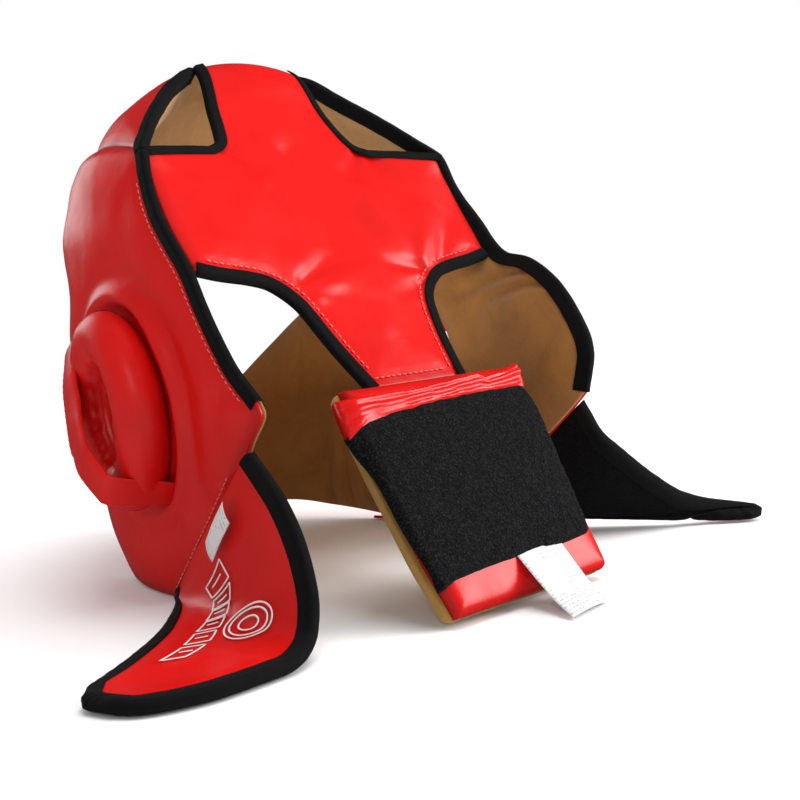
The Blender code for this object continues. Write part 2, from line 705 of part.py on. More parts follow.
def rear_pad(joint):
    """Pad behind the neck: leather front, foam, suede back, loop patch and folded top."""
    whole = Pattern(pad_outline(0, PAD_TOP[1], PAD_BOTTOM[1]))
    front = PAD_FRONT - COVER - LAYER_GAP
    back = PAD_BACK + LINING + LAYER_GAP
    add_object("rear_pad_cover", slab(whole, PAD_FRONT, PAD_FRONT - COVER), RED_LEATHER,
               PAD_HINGE, joint)
    add_object("rear_pad_foam", slab(whole, front, back), GREY_FOAM, PAD_HINGE, joint)
    add_object("rear_pad_backing", slab(whole, PAD_BACK + LINING, PAD_BACK), TAN_SUEDE,
               PAD_HINGE, joint)
    patch = Pattern(pad_outline(PATCH_INSET, PATCH_TOP, PATCH_BOTTOM))
    patch_back = PAD_FRONT + LAYER_GAP
    add_object("rear_loop_patch", slab(patch, patch_back + PATCH_THICKNESS, patch_back),
               BLACK_LOOP, PAD_HINGE, joint)
    flap = Pattern(pad_outline(0, PAD_TOP[1], PATCH_TOP - FLAP_GAP))
    add_object("rear_pad_flap", slab(flap, patch_back + FLAP_THICKNESS, patch_back), RED_LEATHER,
               PAD_HINGE, joint)


def strip(line, width, thickness):
    """Thin ribbon along a line of points, level across and lying on its lower face."""
    sections = []
    for i, point in enumerate(line):
        ahead = line[min(i + 1, len(line) - 1)] - line[max(i - 1, 0)]
        across = Vector((1, 0, 0))
        normal = across.cross(ahead).normalized()
        if normal.z < 0:
            normal = -normal
        left = point + across * width / 2
        right = point - across * width / 2
        sections.append((left, right, right + normal * thickness, left + normal * thickness))
    return swept_bar(sections)


def side_label():
    """Folded woven label sewn into the left wing seam, standing just off the leather."""
    sections = []
    for point in spline(SIDE_LABEL_LINE, 12):
        across = Vector(SIDE_LABEL_ACROSS)
        out = Vector((SIDE_LABEL_THICKNESS, 0, 0))
        sections.append((point, point + across, point + across + out, point + out))
    return swept_bar(sections)


def main():
    """Build every sub-part."""
    head_panels()
    rear_panel()
    bindings()
    for name, side in (("left", 1), ("right", -1)):
        ear_guard(name, side)
        hem_tape(name + "_hem_tape", side)

    left_joint = add_empty("left_wing_hinge", LEFT_WING_HINGE, ROOT)
    wing("left", 1, LEFT_WING_INNER, LEFT_WING_OUTER, left_joint)
    add_object("side_label", side_label(), WHITE_LABEL, LEFT_WING_HINGE, left_joint)
    right_joint = add_empty("right_wing_hinge", RIGHT_WING_HINGE, ROOT)
    wing("right", -1, RIGHT_WING_INNER, RIGHT_WING_OUTER, right_joint)
    pad_joint = add_empty("rear_pad_hinge", PAD_HINGE, ROOT)
    rear_pad(pad_joint)

    label_joint = add_empty("care_label_hinge", LABEL_LINE[0], pad_joint)
    label = strip(spline(LABEL_LINE, 8), LABEL_WIDTH, LABEL_THICKNESS)
    add_object("care_label", label, WHITE_LABEL, LABEL_LINE[0], label_joint)


PARTS = fresh_collection()
ROOT = add_empty("headgear", (*FOOTPRINT_MIDDLE, 0))
main()
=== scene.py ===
"""Looks of the boxing headgear: puffed leather panels, suede, woven tape, hook and loop fabric.

Patterns and sections are in millimetres in the head form's own place, as in the part's source, and
each mesh is put into the frame's metres when it is made.
"""
import math

import bmesh
import bpy
from mathutils import Matrix, Vector, noise
from mathutils.geometry import delaunay_2d_cdt
import numpy as np


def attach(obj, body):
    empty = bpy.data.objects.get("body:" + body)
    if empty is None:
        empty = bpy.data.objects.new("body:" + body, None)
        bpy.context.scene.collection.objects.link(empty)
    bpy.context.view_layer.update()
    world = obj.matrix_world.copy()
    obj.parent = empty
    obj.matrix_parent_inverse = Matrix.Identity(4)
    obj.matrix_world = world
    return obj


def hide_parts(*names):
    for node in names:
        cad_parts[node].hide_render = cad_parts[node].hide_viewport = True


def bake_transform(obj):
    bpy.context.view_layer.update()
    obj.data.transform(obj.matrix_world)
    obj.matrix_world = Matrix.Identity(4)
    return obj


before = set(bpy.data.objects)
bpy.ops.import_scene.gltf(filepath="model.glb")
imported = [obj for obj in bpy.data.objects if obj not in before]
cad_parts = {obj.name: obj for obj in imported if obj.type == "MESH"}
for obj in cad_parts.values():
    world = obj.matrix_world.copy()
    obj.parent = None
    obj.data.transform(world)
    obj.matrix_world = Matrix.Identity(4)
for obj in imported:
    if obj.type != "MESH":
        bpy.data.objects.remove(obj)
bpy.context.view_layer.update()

# ---------------------------------------------------------------- driving dimensions (mm)
METRES = 0.001
FOOTPRINT_MIDDLE = (-5.3, 36.4)  # head-form x and y that lie over the origin

# Level round the head, measured up the side: height, half width, front, widest point, squareness.
HEAD_SECTIONS = (
    (0, 0, 98, -98, -5, 2.4),
    (50, 50, 102, -114, -8, 2.4),
    (100, 100, 106, -125, -10, 2.5),
    (150, 150, 108, -131, -10, 2.5),
    (185, 185, 108, -129, -10, 2.5),
    (208, 208, 105, -119, -12, 2.3),
    (228, 228, 102, -108, -14, 2.1),
    (242, 238, 93, -102, -16, 2.1),
    (256, 248, 83, -96, -18, 2.1),
    (272, 259, 70, -88, -20, 2.1),
    (288, 269, 57, -78, -21, 2.1),
    (303, 278, 43, -66, -22, 2.0),
    (318, 284, 29, -51, -22, 2.0),
    (333, 287, 14, -36, -22, 2.0),
    (347, 287.5, 0.5, -22.5, -22, 2.0),
)
QUARTER_TURN = 170.0      # pattern length from the middle of the front to the widest point
REAR_TAPER = 0.06         # how fast the sides close in behind the widest point
CROWN_LEVEL = 347.0       # level of the top of the head

# Distance down the rear panel: y, height, how far the ends stand back, how far the sides drop.
REAR_PROFILE = (
    (0, -25.5, 287.4, 0, 4.9),
    (7, -20, 284, 0, 5.0),
    (15, -14.5, 277.5, 0, 5.0),
    (34, -6, 260, 2, 3.0),
    (52, 3, 244.5, 9, 1.0),
    (67, 11, 231.5, 15, 0),
    (88, 23, 214, 10, 0),
    (118, 40, 190, 7, 0),
    (146, 56, 167, 8, 0),
    (157, 62, 158, 7, 0),
    (165, 67, 151, 4, 0),
    (176, 73, 142, 2, 0),
    (201, 89, 122, 0, 0),
    (226, 106, 104, 0, 0),
)
REAR_HALF_WIDTH = 100.0
STRAP_HALF_WIDTH = 33.0

# Pattern lines on the head form: (distance round from the front, level).
FACE_EDGE = ((100, 176), (103, 163), (95, 152), (76, 139), (55, 119), (33, 99), (14, 85), (0, 81))
CHIN_SEAM = ((0, 81), (0, 17))
HEM = ((0, 17), (55, 15), (87, 9), (120, 3.5), (140, 1.6), (192, 1.6))
LEFT_WING_SEAM = ((192, 1.6), (237, 44), (268, 74))
LEFT_CORNER = ((268, 74), (280, 88), (290, 99), (288, 106))
LEFT_REAR_EDGE = ((288, 106), (272, 122), (258, 144), (244, 169), (229, 188), (217, 207), (211, 228))
RIGHT_WING_SEAM = ((192, 1.6), (240, 35), (286, 66))
RIGHT_CORNER = ((286, 66), (302, 79), (312, 88))
RIGHT_REAR_EDGE = ((312, 88), (316, 110), (308, 128), (292, 148), (272, 161), (250, 167), (233, 185),
                   (218, 207), (211, 228))
CROWN_SEAM = ((211, 228), (190, 236), (165, 241), (130, 242), (100, 242))
BROW_SEAM = ((100, 242), (100, 176))
FOREHEAD_TOP = ((100, 242), (50, 242), (0, 242), (-50, 242), (-100, 242))
BROW_EDGE = ((100, 176), (60, 172), (0, 170), (-60, 172), (-100, 176))
EAR_CENTRE = (184, 104)
EAR_HOLE = (17, 27)
CROWN_RIM = ((33, -9), (43.5, 1), (59, 7), (75, 16), (91, 25), (105, 33), (119, 41))

# Rear panel, left half: (distance from the middle, distance down the panel).
STRAP_SIDE = ((33, 0), (35, 15), (38, 34), (41, 50), (45, 62), (53, 67))
BAND_TOP = ((53, 67), (72, 68), (97, 70))
BAND_END = ((97, 70), (98, 118), (96, 146))
BAND_BOTTOM = ((96, 146), (83, 150), (69, 153), (57, 157), (47, 166), (42, 176), (36, 201), (31, 226))

EAR_RING_CENTRE = (184, 101)
EAR_RING_SPINE = (27.5, 37)   # half sizes of the line through the middle of the ring's roll
EAR_RING_ROLL = (13.5, 13)    # half width and half height of the roll
EAR_RING_FALL = 0.16          # how much lower the ring is in front than behind
EAR_CLEARANCE = 0.5
EAR_STRAP = ((-37, 29), (-29, 17), (-18, -3), (-1, -21), (14, -33), (24, -40), (30, -44))
EAR_STRAP_LIFT = ((0, 12), (1, 18.5), (2, 23), (3, 28.5), (4, 33), (5, 33), (6, 4))
EAR_STRAP_WIDTH = 20.0
EAR_STRAP_TAPER = 0.35         # how much of its width it has lost at its front end

# Rear pad: hinge line, lean of the pad, outline from the middle and from the hinge.
PAD_HINGE = (0, 110, 105)
PAD_LEAN = 28.3
PAD_LEFT = ((2, 61.5), (25, 61), (48, 59), (84, 55), (117, 49))
PAD_RIGHT = ((2, -54), (50, -56), (117, -56))
PAD_BREADTH = 110         # breadth of the pad's pattern before its sides are fitted
PAD_FRONT = 9.5           # heights of the pad's faces over its hinge plane
PAD_BACK = -4.5
PATCH_SIDES = (((66, 25), (64, 34), (60, 49), (57, 73), (53, 94), (52, 104)),
               ((52, 104), (44, 101.5), (37, 100.4), (2, 99), (-28, 99.4), (-49, 98)),
               ((-49, 98), (-52, 91), (-54, 46), (-54, 26), (-50, 15)),
               ((-50, 15), (-9, 15), (25, 16.5), (51, 19.6), (66, 25)))
FLAP_TOP = ((-52, 2.7), (-46, 4.2), (-40, 5.5), (-32, 6.5), (-27, 7.5), (-22, 4.8), (-12, 5.5),
            (10, 7.5), (22, 8), (51, 7.9), (66, 6.6))
FLAP_BOTTOM = ((-52, 16.5), (-9, 17), (25, 19), (51, 22), (66, 27))

LEFT_SEAM_BEND = ("shell", "left_wing", (103.5, 64.5, 44.5), (105, 73.5, 35))
RIGHT_SEAM_BEND = ("shell", "right_wing", (-105, 72, 44), (-107, 80, 34))
LABEL_BEND = ("rear_pad", "care_label", (-14, 170, 19), (-13, 184, 8))
LEFT_WING_INNER = ((103, 24, 5), (114, 43, 5), (139, 73, 4), (172, 101, 4), (198, 119, 4))
LEFT_WING_OUTER = ((104, 105, 84), (103, 129, 65), (103, 140, 49), (104, 148, 28), (109, 152, 11),
                   (126, 158, 4), (155, 159, 4), (184, 151, 4), (201, 131, 4))
RIGHT_WING_INNER = ((-103, 24, 6), (-117, 52, 9), (-139, 88, 8), (-162, 121, 6), (-180, 148, 4),
                    (-200, 169, 4))
RIGHT_WING_OUTER = ((-107, 120, 82), (-114, 124, 64), (-127, 130, 50), (-146, 135, 34),
                    (-168, 140, 20), (-192, 150, 12), (-209, 164, 6.5))
WING_SAG = 0.8
SEAM_OVERLAP = 3.0        # how far a wing starts under the side panel
SEAM_STEP = 2.0           # how far it lies below the panel there
TIP_ROUNDING = 6.0        # how far the corners of a wing's tip are drawn back
WING_THICKNESS = 5.0
WING_TAPE_THICKNESS = 0.7
HEM_TAPE_SPAN = (120, 138, 156, 174, 190)
HEM_TAPE_WIDTH = 5.2
HEM_SET_BACK = 2.4
LABEL_LINE = ((-14, 165.8, 23.8), (-14, 171.5, 17.5), (-13, 178, 12), (-12, 187, 5.5),
              (-9, 200, 1.2))
LABEL_WIDTH = 31.0
LABEL_BOW = 0.9           # how far a label's middle stands over its edges
SIDE_LABEL_LINE = ((110, 91, 62), (110.5, 82, 52), (110, 72.5, 41.5))
SIDE_LABEL_ACROSS = (0, 4.2, -9)

# ---------------------------------------------------------------- how the soft goods are padded (mm)
CELL = 2.6                # spacing of the panel mesh
EDGE_ROWS = (0.35, 0.85, 1.55)   # rows of points along borders, in cells
EDGE_STEP = 2.6           # spacing along outlines and tapes
EDGE_TOTAL = 3.6          # thickness of a panel at its bound edges
FULL_TOTAL = 14.5         # and away from them
RAMP = 24.0               # distance over which it thickens
PUFF = 2.2                # how far the leather stands over the form away from the edges
PUFF_RAMP = 26.0
ROLL = 7.0                # width of the rounded shoulder along turned edges and seams
TAPE_REACH = 4.6          # how far a binding comes in over the panel
TAPE_THICKNESS = 0.8
STITCH_LENGTH = 2.6
STITCH_PITCH = 3.6
STITCH_RADIUS = 0.40
STITCH_DENT = 0.9         # depth and half width of the furrow that a row of stitches pulls in
STITCH_DENT_WIDTH = 2.0
LINING_PUFF = 0.9         # how far the lining swells past a panel's thickness
LINING_RAMP = 20.0        # distance from the edge over which it does so
MIDDLE_SHARE = 0.55       # where in a panel's thickness the leather's body meets the lining's
# Unevenness in layers: height, width of a lump, added to the panel's seed.
LEATHER_LUMPS = ((0.55, 34, 0), (0.22, 13, 7))
LINING_LUMPS = ((1.3, 26, 3), (0.5, 9, 5))
SWEEP_UV = 0.03           # texture units per mm along and round tapes and rolls
LABEL_UV = 0.1            # and on labels

# Print: line through the blocks as shares along and across the wing.
PRINT_SPINE = ((0.15, 0.44), (0.25, 0.46), (0.34, 0.42), (0.44, 0.37), (0.54, 0.34), (0.63, 0.36),
               (0.72, 0.37))
PRINT_BLOCKS = 6
PRINT_SLANT = (-0.35, 1.0)
PRINT_WIDTH = 0.9
PRINT_THICKNESS = 0.2
PRINT_HEIGHT = WING_THICKNESS / 2 + 1.9
OVAL_CENTRE = (0.46, 0.61)
OVAL_SIZES = (1.0, 0.80, 0.42)

# ---------------------------------------------------------------- light, floor and camera
FILL = 0.50               # strength of the white surroundings on dull surfaces
FILL_IN_GLOSS = 0.07      # and in glossy reflections
SKY_SOURCE = (-0.1, 0.2, 0.9)
SKY_SPREAD = 40           # degrees
SKY_STRENGTH = 1.9
# Area lights: name, place, target and size in metres, power in watts, seen in glossy surfaces.
AREA_LIGHTS = (
    ("key", (-1.08, 1.05, 0.72), (0, 0.03, 0.15), (0.8, 0.8), 21, True),
    ("low_rear", (-1.15, 1.25, 0.22), (0, 0.05, 0.15), (0.9, 0.35), 8, True),
    ("left_rear", (1.2, 1.2, 0.9), (0.05, 0, 0.15), (0.4, 0.5), 3, True),
    ("front", (0.3, -1.6, 0.7), (0, 0, 0.12), (0.7, 0.7), 4, True),
    ("inside", (0.0, -0.02, 0.09), (0, -0.03, 0.27), (0.06, 0.06), 0.16, False),
)
FLOOR_REACH = 6.0         # metres
FLOOR_DROP = 0.0003
CAMERA_YAW, CAMERA_PITCH, CAMERA_ROLL = 40, 5.8, -4.5   # degrees
CAMERA_AIM = (0, 30, 130)
CAMERA_DISTANCE = 606
CAMERA_RIGHT, CAMERA_UP = 41, -37
CAMERA_LENS = 49.5
CAMERA_SENSOR = 36


# ---------------------------------------------------------------- curves and surfaces
def smooth(rows, key):
    """The rows' values at keys, joined by cubics that don't overshoot."""
    rows = np.array(rows, float)
    keys, values = rows[:, 0], rows[:, 1:]
    key = np.clip(np.asarray(key, float), keys[0], keys[-1])
    secants = np.diff(values, axis=0) / np.diff(keys)[:, None]
    product = secants[:-1] * secants[1:]
    total = secants[:-1] + secants[1:]
    safe = np.where(product > 0, total, 1)
    middle = np.where(product > 0, 2 * product / safe, 0)
    slopes = np.vstack([secants[:1], middle, secants[-1:]])
    left = np.clip(np.searchsorted(keys, key, side="right") - 1, 0, len(keys) - 2)
    span = (keys[left + 1] - keys[left])[..., None]
    t = (key - keys[left])[..., None] / span
    return (values[left] * (1 + 2 * t) * (1 - t) ** 2 + values[left + 1] * t * t * (3 - 2 * t)
            + span * t * (1 - t) * ((1 - t) * slopes[left] - t * slopes[left + 1]))


def head_form(places):
    """Points of the head form at (distance round, level)."""
    run = np.abs(places[:, 0])
    side = np.copysign(1, places[:, 0])
    height, half, front, middle, power = smooth(HEAD_SECTIONS, places[:, 1]).T
    turn = np.minimum(math.pi / 2 * run / QUARTER_TURN, math.pi / 2)
    reach = ((np.sin(turn) / half) ** power
             + (np.cos(turn) / (middle - front)) ** power) ** (-1 / power)
    behind = np.maximum(run - QUARTER_TURN, 0)
    across = np.where(behind > 0, half - REAR_TAPER * behind, reach * np.sin(turn))
    along = np.where(behind > 0, middle + behind, middle - reach * np.cos(turn))
    return np.column_stack([side * across, along, height])


def to_crown(places):
    """Crown pattern places, flattened about the top of the head, of head form places."""
    places = np.array(places, float)
    radius = CROWN_LEVEL - places[:, 1]
    turn = math.pi / 2 * places[:, 0] / QUARTER_TURN
    behind = np.abs(places[:, 0]) - QUARTER_TURN
    flat = np.column_stack([radius * np.sin(turn), -radius * np.cos(turn)])
    back = np.column_stack([np.copysign(radius, places[:, 0]), behind])
    return np.where(behind[:, None] > 0, back, flat)


def crown_form(places):
    """Points of the head form at crown pattern places."""
    turn = np.arctan2(places[:, 0], -places[:, 1])
    radius = np.hypot(places[:, 0], places[:, 1])
    front = np.column_stack([QUARTER_TURN * turn / (math.pi / 2), CROWN_LEVEL - radius])
    side = np.copysign(1, places[:, 0])
    back = np.column_stack([side * (QUARTER_TURN + places[:, 1]),
                            CROWN_LEVEL - np.abs(places[:, 0])])
    return head_form(np.where(places[:, 1:2] > 0, back, front))


def rear_form(places):
    """Points of the rear panel at (distance from the middle, distance down)."""
    y, height, set_back, drop = smooth(REAR_PROFILE, places[:, 1]).T
    return np.column_stack([places[:, 0], y + set_back * (places[:, 0] / REAR_HALF_WIDTH) ** 2,
                            height - drop * (places[:, 0] / STRAP_HALF_WIDTH) ** 2])


def pad_form(places):
    """Points of the rear pad's hinge plane at (distance from the middle, below the hinge)."""
    lean = math.radians(PAD_LEAN)
    return np.column_stack([places[:, 0], PAD_HINGE[1] + places[:, 1] * math.sin(lean),
                            PAD_HINGE[2] - places[:, 1] * math.cos(lean)])


def unit(vectors):
    """Vectors of length one."""
    return vectors / np.maximum(np.linalg.norm(vectors, axis=-1, keepdims=True), 1e-9)


def form_normals(form, places, nudge=0.5):
    """Outward directions of a form."""
    right, up = np.array([nudge, 0]), np.array([0, nudge])
    across = form(places + right) - form(places - right)
    along = form(places + up) - form(places - up)
    return unit(np.cross(across, along))


def raised(form, places, height):
    """Points at heights over a form's surface."""
    places = np.atleast_2d(np.array(places, float))
    return form(places) + form_normals(form, places) * np.reshape(height, (-1, 1))


def lengths_along(points):
    """Distance of each point along a line from its start."""
    return np.concatenate([[0], np.cumsum(np.linalg.norm(np.diff(points, axis=0), axis=1))])


def at_lengths(targets, lengths, rows):
    """Rows of numbers, given at lengths along a line, at other lengths."""
    return np.column_stack([np.interp(targets, lengths, column) for column in rows.T])


def spline(points, step):
    """Evenly spread points on a smooth curve through the given ones."""
    points = np.array(points, float)
    if len(points) == 2:
        count = max(1, round(float(np.linalg.norm(points[1] - points[0])) / step))
        share = np.linspace(0, 1, count + 1)[:, None]
        return points[0] * (1 - share) + points[1] * share
    ends = np.vstack([2 * points[:1] - points[1:2], points, 2 * points[-1:] - points[-2:-1]])
    t = (np.arange(12) / 12)[:, None]
    dense = []
    for a, b, c, d in zip(ends, ends[1:], ends[2:], ends[3:]):
        dense.append(0.5 * (2 * b + (c - a) * t + (2 * a - 5 * b + 4 * c - d) * t * t
                            + (3 * b - a - 3 * c + d) * t ** 3))
    dense = np.vstack(dense + [points[-1:]])
    lengths = lengths_along(dense)
    count = max(2, round(float(lengths[-1]) / step))
    return at_lengths(np.linspace(0, lengths[-1], count + 1), lengths, dense)


def mirrored(points):
    """The same line on the other side, drawn backwards."""
    points = np.array(points, float)[::-1]
    points[:, 0] *= -1
    return points


def outline(*runs):
    """Closed outline from lines that meet end to end."""
    return np.vstack([spline(run, EDGE_STEP)[:-1] for run in runs])


def ellipse(centre, half_sizes, step):
    """Closed round outline."""
    count = round(math.pi * sum(half_sizes) / step)
    turns = np.arange(count) * 2 * math.pi / count
    return np.column_stack([centre[0] + half_sizes[0] * np.cos(turns),
                            centre[1] + half_sizes[1] * np.sin(turns)])


def headings(line):
    """Directions along an open line."""
    steps = np.diff(line, axis=0)
    return unit(np.vstack([steps[:1], steps[:-1] + steps[1:], steps[-1:]]))


def leftwards(ahead):
    """Directions in a pattern turned a quarter turn to the left."""
    return np.column_stack([-ahead[:, 1], ahead[:, 0]])


def inside(loop, points):
    """Whether points lie inside a closed outline."""
    hit = np.zeros(len(points), bool)
    x, y = points.T
    for a, b in zip(loop, np.roll(loop, -1, axis=0)):
        if a[1] != b[1]:
            crosses = (a[1] > y) != (b[1] > y)
            hit ^= crosses & (x < a[0] + (y - a[1]) * (b[0] - a[0]) / (b[1] - a[1]))
    return hit


def distance_to(line, points, closed=False):
    """Distances from points to a line."""
    near = np.full(len(points), 1e3)
    ends = np.roll(line, -1, axis=0) if closed else line[1:]
    for a, b in zip(line, ends):
        side = b - a
        t = np.clip((points - a) @ side / max(side @ side, 1e-9), 0, 1)
        near = np.minimum(near, np.linalg.norm(points - a - t[:, None] * side, axis=1))
    return near


def ease(value):
    """Smooth step from 0 to 1."""
    t = np.clip(value, 0, 1)
    return t * t * (3 - 2 * t)


def lumps(places, size, seed):
    """Gentle unevenness between -1 and 1, with bumps about as wide as size."""
    return np.array([noise.noise(Vector((place[0] / size, place[1] / size, seed)))
                     for place in places])


def uneven(places, layers, seed):
    """Sum of layers of lumps."""
    return sum(height * lumps(places, size, seed + added) for height, size, added in layers)


def folds(places, creases):
    """Heights of soft ridges and dents that start at a corner and fade along their length."""
    height = np.zeros(len(places))
    for start, end, width, rise in creases:
        start, end = np.array(start, float), np.array(end, float)
        side = end - start
        t = (places - start) @ side / (side @ side)
        near = np.clip(t, 0, 1)
        away = np.linalg.norm(places - start - near[:, None] * side, axis=1)
        spread = width * (0.6 + 0.8 * near)
        height += rise * np.exp(-(away / spread) ** 2) * np.cos(near * math.pi / 2) ** 0.7
    return height


# ---------------------------------------------------------------- materials
def new_material(name, colour, roughness):
    """Principled material, its tree and its shader."""
    made = bpy.data.materials.new(name)
    made.use_nodes = True
    tree = made.node_tree
    shader = tree.nodes["Principled BSDF"]
    shader.inputs["Base Color"].default_value = (*colour, 1)
    shader.inputs["Roughness"].default_value = roughness
    made.diffuse_color = (*colour, 1)
    return made, tree, shader


def texture(tree, kind, scale, coordinate="Object", **settings):
    """Procedural texture on object or pattern coordinates."""
    place = tree.nodes.new("ShaderNodeTexCoord")
    made = tree.nodes.new("ShaderNodeTex" + kind)
    tree.links.new(place.outputs[coordinate], made.inputs["Vector"])
    made.inputs["Scale"].default_value = scale
    for key, value in settings.items():
        if key in made.inputs:
            made.inputs[key].default_value = value
        else:
            setattr(made, key, value)
    return made


def ramp(tree, source, stops):
    """Colours or greys along a source between 0 and 1."""
    made = tree.nodes.new("ShaderNodeValToRGB")
    elements = made.color_ramp.elements
    while len(elements) < len(stops):
        elements.new(0.5)
    for element, (position, colour) in zip(elements, stops):
        element.position = position
        element.color = (*colour, 1) if isinstance(colour, tuple) else (colour, colour, colour, 1)
    tree.links.new(source, made.inputs["Fac"])
    return made.outputs["Color"]


def maths(tree, operation, first, second):
    """One arithmetic step on sockets or numbers."""
    made = tree.nodes.new("ShaderNodeMath")
    made.operation = operation
    for socket, value in zip(made.inputs, (first, second)):
        if isinstance(value, (int, float)):
            socket.default_value = value
        else:
            tree.links.new(value, socket)
    return made.outputs["Value"]


def mixed(tree, factor, first, second, blend="MIX"):
    """Two colours mixed by a factor."""
    made = tree.nodes.new("ShaderNodeMix")
    made.data_type = "RGBA"
    made.blend_type = blend
    for socket, value in ((made.inputs["Factor"], factor), (made.inputs[6], first),
                          (made.inputs[7], second)):
        if isinstance(value, tuple):
            socket.default_value = (*value, 1)
        elif isinstance(value, (int, float)):
            socket.default_value = value
        else:
            tree.links.new(value, socket)
    return made.outputs[2]


def bump(tree, shader, layers):
    """Chain of bumps, each (height source, strength, distance in metres), on the shader's normal."""
    before = None
    for source, strength, distance in layers:
        made = tree.nodes.new("ShaderNodeBump")
        made.inputs["Strength"].default_value = strength
        made.inputs["Distance"].default_value = distance
        tree.links.new(source, made.inputs["Height"])
        if before:
            tree.links.new(before, made.inputs["Normal"])
        before = made.outputs["Normal"]
    tree.links.new(before, shader.inputs["Normal"])


def attribute(tree, name):
    """A value that is stored on the mesh's points."""
    made = tree.nodes.new("ShaderNodeAttribute")
    made.attribute_name = name
    return made.outputs["Fac"]


def leather_material(name, colour, gloss):
    """Red coated leather: fine pebble grain, creases, and painted shade that darkens it along its
    edges and seams.
    """
    made, tree, shader = new_material(name, colour, gloss)
    shader.inputs["Specular IOR Level"].default_value = 0.30
    clouds = texture(tree, "Noise", 22.0, Detail=4.0)
    deep = tuple(value * 0.90 for value in colour)
    bright = tuple(min(1.0, value * 1.08) for value in colour)
    tone = ramp(tree, clouds.outputs["Fac"], ((0.3, deep), (0.5, colour), (0.75, bright)))
    # Painted shade: the colour is darkened to 0.7 within 7 mm of a panel's edges and seams, where the
    # rounded shoulders dip.
    edge = ramp(tree, attribute(tree, "rise"), ((0.0, 0.70), (0.35, 1.0)))
    edge_shaded_colour = mixed(tree, 1.0, tone, edge, "MULTIPLY")
    tree.links.new(edge_shaded_colour, shader.inputs["Base Color"])
    smears = texture(tree, "Noise", 60.0, Detail=6.0, Roughness=0.65)
    rough = tree.nodes.new("ShaderNodeMapRange")
    rough.inputs["To Min"].default_value = gloss - 0.06
    rough.inputs["To Max"].default_value = gloss + 0.09
    tree.links.new(smears.outputs["Fac"], rough.inputs["Value"])
    tree.links.new(rough.outputs["Result"], shader.inputs["Roughness"])
    pebbles = texture(tree, "Voronoi", 900.0, feature="DISTANCE_TO_EDGE")
    grain = ramp(tree, pebbles.outputs["Distance"], ((0.0, 0.0), (0.12, 1.0)))
    pores = texture(tree, "Noise", 2600.0, Detail=2.0)
    creases = texture(tree, "Noise", 130.0, Detail=5.0, Distortion=0.6)
    bump(tree, shader, ((creases.outputs["Fac"], 0.25, 0.0006), (grain, 0.10, 0.0001),
                        (pores.outputs["Fac"], 0.06, 0.0001)))
    return made


def suede_material(name, colour):
    """Tan suede: cloudy nap, short fuzz and a soft sheen."""
    made, tree, shader = new_material(name, colour, 0.92)
    shader.inputs["Sheen Weight"].default_value = 0.12
    shader.inputs["Sheen Roughness"].default_value = 0.6
    shader.inputs["Specular IOR Level"].default_value = 0.15
    nap = texture(tree, "Noise", 34.0, Detail=7.0, Roughness=0.62, Distortion=0.8)
    deep = tuple(value * 0.80 for value in colour)
    pale = tuple(min(1.0, value * 1.14) for value in colour)
    tone = ramp(tree, nap.outputs["Fac"], ((0.32, deep), (0.52, colour), (0.72, pale)))
    fuzz = texture(tree, "Noise", 2300.0, Detail=3.0, Roughness=0.7)
    speck = ramp(tree, fuzz.outputs["Fac"], ((0.3, 0.75), (0.7, 1.15)))
    tree.links.new(mixed(tree, 1.0, tone, speck, "MULTIPLY"), shader.inputs["Base Color"])
    brushed = texture(tree, "Noise", 240.0, Detail=4.0)
    bump(tree, shader, ((brushed.outputs["Fac"], 0.35, 0.0007), (fuzz.outputs["Fac"], 0.5, 0.0002)))
    return made


def webbing_material(name, colour):
    """Black woven tape: ribs across it and threads along it, with grey lint."""
    made, tree, shader = new_material(name, colour, 0.7)
    shader.inputs["Sheen Weight"].default_value = 0.02
    shader.inputs["Sheen Roughness"].default_value = 0.4
    shader.inputs["Specular IOR Level"].default_value = 0.1
    ribs = texture(tree, "Wave", 30.0, "UV", bands_direction="X", Distortion=0.6)
    threads = texture(tree, "Wave", 38.0, "UV", bands_direction="Y", Distortion=0.6)
    weave = maths(tree, "MULTIPLY", ribs.outputs["Fac"], threads.outputs["Fac"])
    lint = texture(tree, "Noise", 900.0, Detail=4.0, Roughness=0.7)
    pale = tuple(value * 4.2 for value in colour)
    tone = ramp(tree, maths(tree, "MULTIPLY", weave, lint.outputs["Fac"]),
                ((0.05, colour), (0.5, pale)))
    tree.links.new(tone, shader.inputs["Base Color"])
    bump(tree, shader, ((weave, 0.8, 0.0005), (lint.outputs["Fac"], 0.3, 0.0002)))
    return made


def pile_material(name, colour, size, fleck):
    """Black loop or hook fabric: a dense pile of flecks."""
    made, tree, shader = new_material(name, colour, 0.9)
    shader.inputs["Sheen Weight"].default_value = 0.03
    shader.inputs["Sheen Roughness"].default_value = 0.35
    shader.inputs["Specular IOR Level"].default_value = 0.1
    cells = texture(tree, "Voronoi", 1 / size, Randomness=1.0)
    tufts = texture(tree, "Noise", 0.45 / size, Detail=6.0, Roughness=0.75)
    pile = maths(tree, "MULTIPLY", maths(tree, "SUBTRACT", 1.0, cells.outputs["Distance"]),
                 tufts.outputs["Fac"])
    pale = tuple(min(1.0, value * fleck) for value in colour)
    tree.links.new(ramp(tree, pile, ((0.25, colour), (0.62, pale))), shader.inputs["Base Color"])
    bump(tree, shader, ((pile, 1.0, size * 0.9), (tufts.outputs["Fac"], 0.6, size)))
    return made


